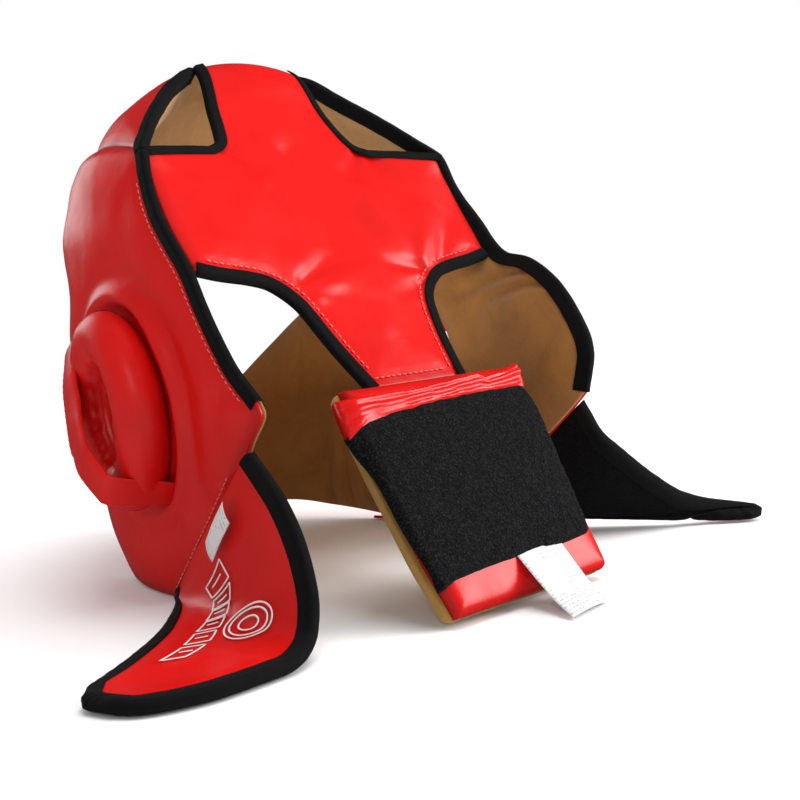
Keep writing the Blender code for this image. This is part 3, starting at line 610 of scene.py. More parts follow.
def label_material(name, colour):
    """Satin woven label with grey bars where print would be."""
    made, tree, shader = new_material(name, colour, 0.55)
    shader.inputs["Sheen Weight"].default_value = 0.2
    warp = texture(tree, "Wave", 6.0, "UV", bands_direction="X")
    weft = texture(tree, "Wave", 6.0, "UV", bands_direction="Y")
    weave = maths(tree, "MULTIPLY", warp.outputs["Fac"], weft.outputs["Fac"])
    lines = texture(tree, "Wave", 1.3, "UV", bands_direction="X", wave_profile="SIN")
    words = texture(tree, "Noise", 5.5, "UV", Detail=1.0)
    blocks = texture(tree, "Noise", 0.35, "UV", Detail=0.0)
    filled = maths(tree, "MULTIPLY", maths(tree, "GREATER_THAN", words.outputs["Fac"], 0.48),
                   maths(tree, "GREATER_THAN", blocks.outputs["Fac"], 0.41))
    bars = maths(tree, "MULTIPLY", maths(tree, "GREATER_THAN", lines.outputs["Fac"], 0.80), filled)
    grey = tuple(value * 0.55 for value in colour)
    soft = tuple(value * 0.93 for value in colour)
    base = mixed(tree, weave, soft, colour)
    tree.links.new(mixed(tree, bars, base, grey), shader.inputs["Base Color"])
    bump(tree, shader, ((weave, 0.4, 0.0002),))
    return made


def thread_material(name, colour):
    """Twisted sewing thread."""
    made, tree, shader = new_material(name, colour, 0.45)
    twist = texture(tree, "Wave", 700.0, Distortion=1.0)
    deep = tuple(value * 0.7 for value in colour)
    tree.links.new(ramp(tree, twist.outputs["Fac"], ((0.2, deep), (0.8, colour))),
                   shader.inputs["Base Color"])
    bump(tree, shader, ((twist.outputs["Fac"], 0.4, 0.0001),))
    return made


def print_material(name, colour):
    """Screen-printed ink with the leather's grain showing through."""
    made, tree, shader = new_material(name, colour, 0.4)
    pebbles = texture(tree, "Voronoi", 900.0, feature="DISTANCE_TO_EDGE")
    thin = texture(tree, "Noise", 500.0, Detail=3.0)
    soft = tuple(value * 0.86 for value in colour)
    tree.links.new(ramp(tree, thin.outputs["Fac"], ((0.35, soft), (0.6, colour))),
                   shader.inputs["Base Color"])
    bump(tree, shader, ((pebbles.outputs["Distance"], 0.1, 0.0001),))
    return made


RED = (0.57, 0.0045, 0.0035)
MATERIALS = {
    "leather": leather_material("red_leather", RED, 0.33),
    "gloss": leather_material("red_gloss_leather", RED, 0.27),
    "suede": suede_material("tan_suede", (0.27, 0.115, 0.026)),
    # The same suede painted lighter, as painted light on the crown, forehead and rear linings.
    "painted_light_suede": suede_material("painted_light_suede", (0.40, 0.22, 0.085)),
    "pad_suede": suede_material("pad_suede", (0.34, 0.18, 0.04)),
    "webbing": webbing_material("black_webbing", (0.0035, 0.0035, 0.004)),
    "loop": pile_material("black_loop_pile", (0.004, 0.004, 0.0045), 0.0011, 7.0),
    "hook": pile_material("black_hook_pile", (0.0035, 0.0035, 0.004), 0.0008, 3.0),
    "label": label_material("white_label", (0.70, 0.70, 0.70)),
    # Red thread, painted paler than the leather as a painted highlight on the stitches.
    "thread": thread_material("red_thread", (0.90, 0.15, 0.12)),
    "print": print_material("white_print", (0.80, 0.78, 0.77)),
}


# ---------------------------------------------------------------- making pieces
def in_frame(points):
    """Head-form points in the frame's metres."""
    return (np.asarray(points, float) - (*FOOTPRINT_MIDDLE, 0)) * METRES


def make(name, points, faces, finish, body, replaced=(), values=None, uvs=None):
    """Named piece from head-form points, riding on a body, or left unattached in the frame when given
    a seam-bend entry instead.
    """
    mesh = bpy.data.meshes.new(name)
    mesh.from_pydata(in_frame(points).tolist(), [], faces)
    for key, numbers in (values or {}).items():
        stored = mesh.attributes.new(key, "FLOAT", "POINT")
        stored.data.foreach_set("value", np.asarray(numbers, np.float32))
    if uvs is not None:
        layer = mesh.uv_layers.new(name="UVMap")
        corner = np.empty(len(mesh.loops), int)
        mesh.loops.foreach_get("vertex_index", corner)
        layer.data.foreach_set("uv", np.asarray(uvs, np.float32)[corner].ravel())
    bm = bmesh.new()
    bm.from_mesh(mesh)
    bmesh.ops.recalc_face_normals(bm, faces=bm.faces)
    if bm.calc_volume(signed=True) < 0:
        bmesh.ops.reverse_faces(bm, faces=bm.faces)
    bm.to_mesh(mesh)
    bm.free()
    mesh.shade_smooth()
    mesh.materials.append(MATERIALS[finish])
    made = bpy.data.objects.new(name, mesh)
    bpy.context.scene.collection.objects.link(made)
    if isinstance(body, tuple):
        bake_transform(made)
    else:
        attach(made, body)
    if replaced:
        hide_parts(*replaced)
    return made


def skin_faces(cells, borders, count):
    """Faces of a closed body from two matching skins of count points each."""
    faces = [tuple(cell) for cell in cells]
    faces += [tuple(k + count for k in reversed(cell)) for cell in faces]
    for border in borders:
        for a, b in zip(border, np.roll(border, -1)):
            faces.append((int(a), int(a) + count, int(b) + count, int(b)))
    return faces


def grid_faces(rows, columns):
    """Faces of a closed body from two matching skins of rows by columns cells each."""
    stride = columns + 1
    cells = [(i * stride + j, (i + 1) * stride + j, (i + 1) * stride + j + 1, i * stride + j + 1)
             for i in range(rows) for j in range(columns)]
    border = list(range(columns)) + [i * stride + columns for i in range(rows)]
    border += [rows * stride + j for j in range(columns, 0, -1)]
    border += [i * stride for i in range(rows, 0, -1)]
    return skin_faces(cells, [border], (rows + 1) * stride)


def ring_faces(rings, count, base=0, closed=False):
    """Faces of a body through rings of count points each, with both ends unless it is closed."""
    faces = []
    for i in range(rings if closed else rings - 1):
        near, far = base + i * count, base + (i + 1) % rings * count
        for k in range(count):
            m = (k + 1) % count
            faces.append((near + k, near + m, far + m, far + k))
    if not closed:
        faces.append(tuple(range(base, base + count)))
        faces.append(tuple(range(base + (rings - 1) * count, base + rings * count)))
    return faces


class Pattern:
    """A flat panel outline with holes, cut into a fine mesh."""

    def __init__(self, loop, holes=(), turned=(), cell=CELL):
        """Cut the outline; turned lists the lines along seams and turned edges."""
        self.loops = [loop] + list(holes)
        points = np.vstack(self.loops)
        starts = np.cumsum([0] + [len(one) for one in self.loops])
        self.borders = [np.arange(a, b) for a, b in zip(starts, starts[1:])]
        low, high = loop.min(axis=0), loop.max(axis=0)
        rows = np.arange(low[1] + cell / 2, high[1], cell * 0.87)
        columns = np.arange(low[0], high[0], cell)
        grid = np.array([(x + cell / 2 * (j % 2), y) for j, y in enumerate(rows) for x in columns])
        grid = grid[self.covers(grid)]
        rows = self.edge_rows(cell)
        points = np.vstack([points, rows, grid[self.room(grid) > (EDGE_ROWS[-1] + 0.6) * cell]])
        edges = [(int(a), int(b)) for border in self.borders
                 for a, b in zip(border, np.roll(border, -1))]
        cut = delaunay_2d_cdt([Vector(point) for point in points], edges, [], 1, 1e-6)
        self.points = np.array([tuple(point) for point in cut[0]])
        middles = np.array([self.points[list(face)].mean(axis=0) for face in cut[2]])
        kept = self.covers(middles)
        self.triangles = [tuple(face) for face, keep in zip(cut[2], kept) if keep]
        self.rise = np.min([distance_to(one, self.points, True) for one in self.loops], axis=0)
        lines = [distance_to(line, self.points) for line in turned]
        lines += [distance_to(hole, self.points, True) for hole in holes]
        self.turned = np.min(lines, axis=0) if lines else np.full(len(self.points), 1e3)

    def room(self, points):
        """Distance of points from the nearest border."""
        return np.min([distance_to(one, points, True) for one in self.loops], axis=0)

    def edge_rows(self, cell):
        """Even rows of points along the borders, so that rounded edges come out smooth."""
        rows = []
        for one in self.loops:
            out = leftwards(unit(np.roll(one, -1, axis=0) - np.roll(one, 1, axis=0)))
            for share in EDGE_ROWS:
                for sign in (1, -1):
                    row = one + sign * share * cell * out
                    row = row[self.covers(row)]
                    if len(row):
                        rows.append(row[self.room(row) > 0.93 * share * cell])
        return np.vstack(rows)

    def covers(self, points):
        """Whether points are on the panel."""
        hit = inside(self.loops[0], points)
        for hole in self.loops[1:]:
            hit &= ~inside(hole, points)
        return hit

    def body(self, name, form, top, bottom, finish, body, replaced):
        """Closed body between two heights over the form."""
        points = np.vstack([raised(form, self.points, top), raised(form, self.points, bottom)])
        faces = skin_faces(self.triangles, self.borders, len(self.points))
        # Share of 20 mm from the edge; the leather reads it to paint shade along edges and seams.
        rise = np.tile(np.clip(self.rise / 20, 0, 1), 2)
        return make(name, points, faces, finish, body, replaced, {"rise": rise})


def shoulder(distance, width):
    """How much of a rounded shoulder is missing at a distance from the edge, from 1 to 0."""
    t = 1 - np.clip(distance / width, 0, 1)
    return 1 - np.sqrt(1 - t * t)


def thickness(rise):
    """Thickness of a padded panel at a distance from its edge."""
    share = np.clip(rise / RAMP, 0, 1)
    return EDGE_TOTAL + (FULL_TOTAL - EDGE_TOTAL) * np.sin(share * math.pi / 2)


def puffed(rise):
    """How far the leather stands over the form at a distance from the edge."""
    return PUFF * ease(rise / PUFF_RAMP)


def lining_height(rise):
    """Height of the lining's back at a distance from the edge."""
    return -thickness(rise) - LINING_PUFF * ease(rise / LINING_RAMP)


def padded_panel(name, pattern, form, creases, stitch_lines, seed, swelling=0.0, wrinkles=()):
    """Puffed leather face with its foam, and the suede lining behind it."""
    places = pattern.points
    top = puffed(pattern.rise) + folds(places, creases) + swelling
    bedding = np.clip(pattern.rise / 14, 0.12, 1)
    top += uneven(places, LEATHER_LUMPS, seed) * bedding
    for line in stitch_lines:
        near = distance_to(line, places)
        pucker = 0.75 + 0.25 * np.sin(places.sum(axis=1) / 2.1)
        top -= STITCH_DENT * np.exp(-(near / STITCH_DENT_WIDTH) ** 2) * pucker
    missing = shoulder(pattern.turned, ROLL)
    middle = -MIDDLE_SHARE * thickness(pattern.rise)
    top = top - (top - middle) * 0.85 * missing
    cover = pattern.body(name + "_padded_face", form, top, middle, "leather", "shell",
                         (name + "_cover", name + "_foam"))
    bottom = lining_height(pattern.rise) + uneven(places, LINING_LUMPS, seed) * bedding
    bottom -= folds(places, wrinkles)
    bottom = bottom - (bottom - middle) * 0.7 * missing
    # Linings other than the sides get the suede painted lighter, as painted light.
    finish = "suede" if name.endswith("side") else "painted_light_suede"
    lining = pattern.body(name + "_suede", form, middle - 0.15, bottom, finish, "shell",
                          (name + "_lining",))


def sweep(name, sections, finish, body, replaced=(), closed=False):
    """Solid through matching rings of points, with texture coordinates along and round it."""
    sections = np.array(sections)
    rings, count = sections.shape[:2]
    along = lengths_along(sections.mean(axis=1))
    across = lengths_along(sections[0])
    uvs = np.column_stack([np.repeat(along, count), np.tile(across, rings)]) * SWEEP_UV
    return make(name, sections.reshape(-1, 3), ring_faces(rings, count, closed=closed), finish,
                body, replaced, {"rise": np.ones(rings * count)}, uvs)


def folded(path, thick):
    """Closed section of a thin tape that follows a path of (distance in from the edge, height)."""
    out = leftwards(headings(path))
    if out[0][1] < 0:
        out = -out
    return np.vstack([path + out * (thick / 2), (path - out * (thick / 2))[::-1]])


def tape_section():
    """Tape folded across a padded panel's edge."""
    bend = 1.5
    inwards = np.array([TAPE_REACH, TAPE_REACH * 0.72, TAPE_REACH * 0.44, TAPE_REACH * 0.2, 0.2])
    path = [(d, puffed(d) + 0.35) for d in inwards]
    high, low = puffed(0.0), lining_height(0.0)
    middle, half = (high + low) / 2, (high - low) / 2 + 0.3
    for turn in (0.28, 0.5, 0.72):
        path.append((-bend * math.sin(turn * math.pi), middle + half * math.cos(turn * math.pi)))
    path += [(d, lining_height(d) - 0.35) for d in inwards[::-1]]
    return folded(np.array([(float(d), float(h)) for d, h in path]), TAPE_THICKNESS)


def binding(name, form, line, side):
    """Woven tape folded over a panel edge; side is +1 where the panel ends to the line's left."""
    section = tape_section()
    sections = []
    for place, out in zip(line, leftwards(headings(line)) * side):
        places = place - np.outer(section[:, 0], out)
        sections.append(raised(form, places, section[:, 1]))
    wobble = lumps(line, 7, 2.5) * 0.25
    sections = np.array(sections) + wobble[:, None, None] * form_normals(form, line)[:, None, :]
    sweep(name + "_tape", sections, "webbing", "shell", (name,))


def stitches(name, points, normals):
    """Row of short threads along a line of points on the shell."""
    lengths = lengths_along(points)
    middles = np.arange(STITCH_PITCH / 2, lengths[-1] - STITCH_PITCH / 2, STITCH_PITCH)
    along = unit(np.gradient(points, axis=0))
    rows = at_lengths(middles, lengths, np.hstack([points, normals, along]))
    profile = ((-0.5, 0.15, -0.5), (-0.36, 1.0, 0.0), (0.0, 1.1, 0.35), (0.36, 1.0, 0.0),
               (0.5, 0.15, -0.5))
    sides = 6
    made_points, faces = [], []
    for row in rows:
        centre, up, ahead = row[:3], unit(row[3:6]), unit(row[6:])
        across = unit(np.cross(up, ahead))
        faces += ring_faces(len(profile), sides, len(made_points))
        for share, size, lift in profile:
            middle = centre + ahead * share * STITCH_LENGTH + up * lift * STITCH_RADIUS
            for k in range(sides):
                turn = 2 * math.pi * k / sides
                made_points.append(middle + (across * math.cos(turn) + up * math.sin(turn))
                                   * STITCH_RADIUS * size)
    make(name, made_points, faces, "thread", "shell", (), {"rise": np.ones(len(made_points))})


def moved_in(line, side, distance):
    """A panel's edge line moved into the panel."""
    return line - leftwards(headings(line)) * side * distance


def panel_stitches(name, form, line, height):
    """Row of stitches on a panel, along a line in its pattern."""
    line = spline(line[::4], 1.5)
    stitches(name, raised(form, line, height), form_normals(form, line))


# ---------------------------------------------------------------- the headgear's panels
def sided(run, side):
    """A left-hand line, or its mirror image."""
    return np.array(run, float) if side > 0 else mirrored(run)


def sided_folds(creases, side):
    """Left-hand folds, or their mirror images."""
    return [((side * a[0], a[1]), (side * b[0], b[1]), width, rise) for a, b, width, rise in creases]


def build_crown():
    """Crown and forehead panels."""
    seam = to_crown(spline(CROWN_SEAM, EDGE_STEP))
    top = to_crown(spline(FOREHEAD_TOP, EDGE_STEP))
    far_seam = mirrored(seam)
    strap_seam = spline((mirrored(CROWN_RIM)[-1], CROWN_RIM[0]), EDGE_STEP)
    loop = np.vstack([spline(CROWN_RIM, EDGE_STEP)[:-1], seam[:-1], top[:-1], far_seam[:-1],
                      spline(mirrored(CROWN_RIM), EDGE_STEP)[:-1], strap_seam[:-1]])
    pattern = Pattern(loop, turned=(seam, top, far_seam, strap_seam))
    creases = (((0, -10), (0, -60), 9, -1.0), ((40, -8), (70, -30), 8, -0.8))
    padded_panel("crown", pattern, crown_form, creases, (), 1.5)

    seams = (spline(BROW_SEAM, EDGE_STEP), mirrored(spline(BROW_SEAM, EDGE_STEP)),
             spline(FOREHEAD_TOP, EDGE_STEP), spline(BROW_EDGE, EDGE_STEP))
    loop = outline(BROW_SEAM, BROW_EDGE, mirrored(BROW_SEAM), FOREHEAD_TOP[::-1])
    creases = (((0, 172), (0, 225), 12, -1.2), ((50, 240), (50, 195), 7, -0.7),
               ((-50, 240), (-50, 195), 7, -0.7))
    padded_panel("forehead", Pattern(loop, turned=seams), head_form, creases, (), 4.5)


def hood(places, side):
    """Height of the side panel's swelling behind and over the ear ring, and of the dip inside it."""
    reach = places * (side, 1) - EAR_RING_CENTRE
    half_sizes = np.array(EAR_RING_SPINE) + EAR_RING_ROLL[0]
    out = (np.hypot(*(reach / half_sizes).T) - 1) * half_sizes.mean()
    turn = np.arctan2(reach[:, 1], reach[:, 0])
    share = 0.5 + 0.5 * np.cos(turn - 0.7)
    lip = 5.2 * share * np.exp(-((out - 6.5) / 4.5) ** 2)
    trough = (1.0 + 2.6 * (1 - share)) * np.exp(-((out - 15) / 7) ** 2) * share
    return lip - trough - 1.5 * np.exp(-(out / 3.0) ** 2)


def build_side(name, side, wing_seam, corner, rear_edge, seed):
    """Side panel with its soft folds, and the stitches along the rear tape and the wing's seam."""
    front = (FACE_EDGE, CHIN_SEAM, HEM)
    turned = [spline(sided(run, side), EDGE_STEP) for run in (*front, CROWN_SEAM, BROW_SEAM)]
    runs = [sided(run, side)
            for run in (*front, wing_seam, corner, rear_edge, CROWN_SEAM, BROW_SEAM)]
    loop = outline(*(runs if side > 0 else runs[::-1]))
    hole = ellipse((side * EAR_CENTRE[0], EAR_CENTRE[1]), EAR_HOLE, EDGE_STEP)
    rear = spline(rear_edge, EDGE_STEP)
    row = moved_in(rear, -1, 7.0)[3:-3]
    row[:, 0] *= side
    seam_row = moved_in(spline(wing_seam, EDGE_STEP), -1, 4.5)[1:-2]
    seam_row[:, 0] *= side
    creases = [((236, 60), (222, 20), 7, -1.5), ((250, 70), (243, 30), 6, 1.0),
               ((218, 46), (205, 12), 8, 1.4), ((262, 108), (250, 80), 9, -1.3),
               ((232, 130), (238, 96), 9, -1.2), ((196, 200), (204, 165), 11, -0.9),
               ((150, 170), (140, 205), 10, -0.9), ((120, 150), (118, 190), 9, -0.9),
               ((110, 60), (90, 30), 10, -1.0), ((70, 110), (78, 60), 9, -1.0)]
    wrinkles = [((290, 162), (205, 140), 3.6, -4.6), ((296, 152), (236, 138), 3.2, -4.0),
                ((280, 172), (250, 156), 3.4, -3.6), ((86, 4), (92, 56), 3.4, -4.6),
                ((103, 4), (103, 56), 3.2, -4.0), ((94, 4), (98, 50), 3.6, 2.4),
                ((118, 12), (114, 60), 5, 2.0)]
    pattern = Pattern(loop, [hole], turned)
    seam = spline(wing_seam, EDGE_STEP)[:-3] * (side, 1)
    welt = 1.7 * np.exp(-(distance_to(seam, pattern.points) / 4.0) ** 2)
    swelling = hood(pattern.points, side) + 1.6 * ease(pattern.rise / 34) + welt
    padded_panel(name + "_side", pattern, head_form, sided_folds(creases, side), (row, seam_row),
                 seed, swelling, sided_folds(wrinkles, side))
    panel_stitches(name + "_rear_stitches", head_form, row, 0.4)
    panel_stitches(name + "_wing_seam_stitches", head_form, seam_row, 0.9)


def build_rear():
    """Cross-shaped rear panel, pulled into folds at its four notches."""
    half = (STRAP_SIDE, BAND_TOP, BAND_END, BAND_BOTTOM)
    far = [mirrored(run) for run in reversed(half)]
    foot = (half[-1][-1], far[0][0])
    brow = (far[-1][-1], half[0][0])
    band_ends = (spline(BAND_END, EDGE_STEP), mirrored(spline(BAND_END, EDGE_STEP)))
    loop = outline(*half, foot, *far, brow)
    neck = spline(BAND_BOTTOM, EDGE_STEP)
    left_row = moved_in(neck, -1, 7.5)[2:-2]
    right_row = mirrored(left_row)
    foot_row = spline(((30, 220), (-30, 220)), EDGE_STEP)
    creases = (((36, 156), (6, 140), 4.6, -2.4), ((32, 166), (-8, 152), 7.0, 1.7),
               ((34, 164), (10, 168), 3.0, -1.5), ((-46, 152), (-20, 148), 4.2, -2.4),
               ((-50, 147), (-72, 108), 7.0, 1.7), ((-42, 162), (-16, 172), 4.0, -1.6),
               ((-64, 147), (-86, 112), 5.0, -1.8),
               ((-46, 66), (-26, 92), 5.0, -2.2), ((-52, 70), (-66, 112), 7.0, -1.8),
               ((46, 66), (24, 86), 5.0, -1.8), ((4, 70), (-4, 150), 13.0, -2.2),
               ((-34, 96), (-40, 150), 10.0, 1.6), ((30, 90), (62, 128), 12.0, 1.2),
               ((0, 190), (0, 150), 14.0, 1.6))
    pattern = Pattern(loop, turned=(*band_ends, spline(foot, EDGE_STEP), spline(brow, EDGE_STEP)))
    padded_panel("rear", pattern, rear_form, creases, (left_row, right_row, foot_row), 9.5)
    for part, row in (("left", left_row), ("right", right_row), ("foot", foot_row)):
        panel_stitches("neck_" + part + "_stitches", rear_form, row, 0.35)


def build_bindings():
    """Woven tape on the crown openings, the rear edges and the rear panel's free edges."""
    for name, rear_edge in (("left", LEFT_REAR_EDGE), ("right", RIGHT_REAR_EDGE)):
        rim = spline(CROWN_RIM, EDGE_STEP)
        strap = np.vstack([spline(STRAP_SIDE, EDGE_STEP)[:-1], spline(BAND_TOP, EDGE_STEP)])
        neck = spline(BAND_BOTTOM, EDGE_STEP)
        rear = spline(rear_edge, EDGE_STEP)
        for part, form, line in (("crown", crown_form, rim), ("strap", rear_form, strap),
                                 ("neck", rear_form, neck), ("rear", head_form, rear)):
            side = 1 if part == "crown" else -1
            if name == "right":
                line = mirrored(line)
            binding(name + "_" + part + "_binding", form, line, side)


def build_hems():
    """Rounded leather hems that the headgear stands on."""
    for name, side in (("left", 1), ("right", -1)):
        runs = spline([(run, 0) for run in HEM_TAPE_SPAN], 2.0)
        outer = raised(head_form, runs * (side, 1), -HEM_SET_BACK)
        inner = raised(head_form, runs * (side, 1), -HEM_SET_BACK - HEM_TAPE_WIDTH)
        sections = []
        for a, b in zip(outer, inner):
            middle, half = (a + b) / 2, (a - b) / 2
            ring = [middle + half * math.cos(turn) + np.array([0, 0, 1.0 + math.sin(turn)])
                    for turn in np.arange(12) * math.pi / 6]
            sections.append(ring)
        sections = np.array(sections)
        sections[..., 2] -= sections[..., 2].min()
        sweep(name + "_hem", sections, "leather", "shell", (name + "_hem_tape",))


def build_ears():
    """Padded ring round each ear hole, gathered along its inner rim, and the strap across it."""
    half_width, rear_height = EAR_RING_ROLL
    turns = np.arange(168) * 2 * math.pi / 168
    rolls = np.arange(44) * 2 * math.pi / 44
    for name, side in (("left", 1), ("right", -1)):
        sections = []
        for turn in turns:
            half_height = rear_height * (1 - EAR_RING_FALL * (1 - math.cos(turn)))
            gather = (math.sin(13 * turn + 2.1 * math.sin(2 * turn))
                      + 0.6 * math.sin(21 * turn + 1.7 * math.sin(3 * turn + 1)))
            inner = np.exp(-((rolls - 2.35) / 0.42) ** 2)
            crease = np.exp(-((rolls - 2.62) / 0.16) ** 2)
            swell = 1 - 0.022 * inner * gather - 0.07 * crease * (1 + 0.25 * gather)
            grow = half_width * np.cos(rolls) * swell
            round_about = EAR_RING_SPINE[0] + grow
            up_down = EAR_RING_SPINE[1] + grow
            places = np.column_stack([side * (EAR_RING_CENTRE[0] + round_about * math.cos(turn)),
                                      EAR_RING_CENTRE[1] + up_down * math.sin(turn)])
            lift = EAR_CLEARANCE + half_height * (1 + np.sin(rolls) * swell)
            sections.append(raised(head_form, places, lift))
        ring = sweep(name + "_ear_roll", sections, "leather", "shell", (name + "_ear_ring",), True)
        build_ear_strap(name, side)


def build_ear_strap(name, side):
    """Flat folded strap over an ear ring, with a row of stitches along one edge."""
    line = spline(EAR_STRAP, 2.0) + np.array(EAR_CENTRE)
    across = leftwards(headings(line))
    share = np.linspace(0, 1, len(line))
    low = smooth(EAR_STRAP_LIFT, share * (len(EAR_STRAP) - 1))[:, 0]
    profile = []
    half = EAR_STRAP_WIDTH / 2
    for turn in np.linspace(0, 2 * math.pi, 28, endpoint=False):
        wide = math.copysign(abs(math.cos(turn)) ** 0.35, math.cos(turn))
        tall = math.copysign(abs(math.sin(turn)) ** 0.6, math.sin(turn))
        profile.append((half * wide, 1.35 + 1.35 * tall - 1.0 * wide * wide))
    profile = np.array(profile)
    sections = []
    narrowing = 1 - EAR_STRAP_TAPER * share ** 9
    for place, out, lift, narrow in zip(line, across, low, narrowing):
        places = (place + np.outer(profile[:, 0] * narrow, out)) * (side, 1)
        sections.append(raised(head_form, places, lift + profile[:, 1]))
    sweep(name + "_ear_band", sections, "leather", "shell", (name + "_ear_strap",))
    places = (line + across * (2.6 - half))[4:-14] * (side, 1)
    stitches(name + "_ear_stitches", raised(head_form, places, low[4:-14] + 1.75),
             form_normals(head_form, places))


# ---------------------------------------------------------------- the two closure wings
def wing_form(inner_edge, outer_edge):
    """Surface of a wing from (share along, share across) between its two edges."""
    def along(edge, share):
        """Points at shares of an edge's length."""
        rows = [(i, *point) for i, point in enumerate(edge)]
        return smooth(rows, np.asarray(share) * (len(edge) - 1))

    def form(places):
        """Points of the wing at places."""
        low = along(inner_edge, places[:, 0])
        high = along(outer_edge, places[:, 0])
        sag = 1 + WING_SAG * np.minimum(1.0, places[:, 0] / 0.3)
        points = low + (high - low) * places[:, 1:2]
        points[:, 2] = low[:, 2] + (high[:, 2] - low[:, 2]) * np.clip(places[:, 1], 0, 1) ** sag
        return points
    return form


def wing_places(form, places, margin):
    """The same places on a wing that is smaller by a margin all round."""
    length = float(np.linalg.norm(form(np.array([[1, 0.5]])) - form(np.array([[0, 0.5]]))))
    ends = margin / length
    start = -SEAM_OVERLAP / length
    along = start + (1 - ends - start) * places[:, 0]
    along -= TIP_ROUNDING / length * (2 * places[:, 1] - 1) ** 2 * ease(places[:, 0] * 10 - 9)
    feet = np.column_stack([along, np.zeros(len(along))])
    heads = np.column_stack([along, np.ones(len(along))])
    width = np.linalg.norm(form(heads) - form(feet), axis=1)
    sides = np.minimum(0.4, margin / width)
    return np.column_stack([along, sides + (1 - 2 * sides) * places[:, 1]])


def wing_points(form, side, places, margin, height):
    """Points over a wing's middle surface."""
    moved = wing_places(form, places, margin)
    inner = np.clip(moved, 0.012, 0.988)
    normals = form_normals(form, inner, 0.01) * side
    drop = SEAM_STEP * np.exp(-(np.clip(moved[:, 0], 0, 1) / 0.07) ** 2)
    return form(moved) + normals * np.reshape(height - drop, (-1, 1))


def seam_bend(side):
    """The seam-bend entry for a wing's side; pieces given it are left unattached."""
    return LEFT_SEAM_BEND if side > 0 else RIGHT_SEAM_BEND


def wing_layer(name, form, side, margin, heights, finish, replaced, swell, seed):
    """Closed layer of a wing between two heights, swollen in its middle."""
    rows, columns = 84, 44
    a, b = np.meshgrid(np.linspace(0, 1, rows + 1), np.linspace(0, 1, columns + 1), indexing="ij")
    places = np.column_stack([a.ravel(), b.ravel()])
    rim = 4 * np.minimum(places[:, 0] * 2, 0.5) * np.minimum((1 - places[:, 0]) * 4, 0.5)
    rim = ease(rim) * ease(np.minimum(places[:, 1], 1 - places[:, 1]) * 5)
    bend = lumps(places * (150, 70), 32, seed) * swell * rim
    skins = [wing_points(form, side, places, margin, height + bend + swell * rim * sign)
             for height, sign in zip(heights, (1, 0.2))]
    return make(name, np.vstack(skins), grid_faces(rows, columns), finish, seam_bend(side),
                replaced, {"rise": np.tile(rim, 2) * 0.6 + 0.4})


def wing_tape(name, form, side):
    """Wide soft tape folded over a wing's free edges."""
    steps = 90
    share = np.linspace(0, 1, steps)
    upper = np.column_stack([share, np.ones(steps)])
    tip = np.column_stack([np.ones(30), np.linspace(1, 0, 30)])[1:-1]
    lower = np.column_stack([share[::-1], np.zeros(steps)])
    places = np.vstack([upper, tip, lower])
    half = WING_THICKNESS / 2
    path = [(7.6, half + 0.35), (6.0, half + 0.75), (3.6, half + 0.7), (1.5, half + 0.25),
            (0.1, half - 0.8), (-0.7, 0.0), (0.1, 0.8 - half), (1.5, -half - 0.25),
            (3.6, -half - 0.6), (6.0, -half - 0.6), (7.6, -half - 0.3)]
    rings = [wing_points(form, side, places, margin, height)
             for margin, height in folded(np.array(path), WING_TAPE_THICKNESS)]
    sections = np.transpose(np.array(rings), (1, 0, 2))
    sections += lumps(places * 400, 9, 3.5)[:, None, None] * 0.22
    sections[..., 2] = np.maximum(sections[..., 2], 0.3)
    sweep(name + "_wing_tape", sections, "webbing", seam_bend(side), (name + "_wing_binding",))


def ribbon(name, form, side, lines):
    """Thin printed lines on a wing's face, each through points given as (along, across)."""
    points, faces = [], []
    for line, closed in lines:
        line = np.array(line, float)
        if closed:
            line = np.vstack([line, line[:1]])
        line = spline(line, 0.008) if not closed else np.vstack(
            [spline((p, q), 0.01)[:-1] for p, q in zip(line, line[1:])] + [line[-1:]])
        centre = wing_points(form, side, line, 0.0, PRINT_HEIGHT)
        normals = form_normals(form, np.clip(line, 0.02, 0.98), 0.01) * side
        across = unit(np.cross(normals, headings(centre))) * PRINT_WIDTH / 2
        faces += ring_faces(len(line), 4, len(points))
        for middle, over, up in zip(centre, across, normals * PRINT_THICKNESS):
            points += [middle + over, middle - over, middle - over - up, middle + over - up]
    make(name, points, faces, "print", "left_wing", (), {"rise": np.ones(len(points))})


def build_wings():
    """Leather face, hook fabric and tape of both wings, and the print on the left one."""
    half = WING_THICKNESS / 2
    for name, side, inner, outer in (("left", 1, LEFT_WING_INNER, LEFT_WING_OUTER),
                                     ("right", -1, RIGHT_WING_INNER, RIGHT_WING_OUTER)):
        form = wing_form(inner, outer)
        face = wing_layer(name + "_wing_face", form, side, 3.0, (half, 0.1), "leather",
                          (name + "_wing_cover", name + "_wing_core"), 0.9, 11.5)
        hook = wing_layer(name + "_wing_hooks", form, side, 3.2, (-0.1, -half), "hook",
                          (name + "_wing_hook_panel",), 0.0, 12.5)
        wing_tape(name, form, side)
        if name == "left":
            build_print(form, side)


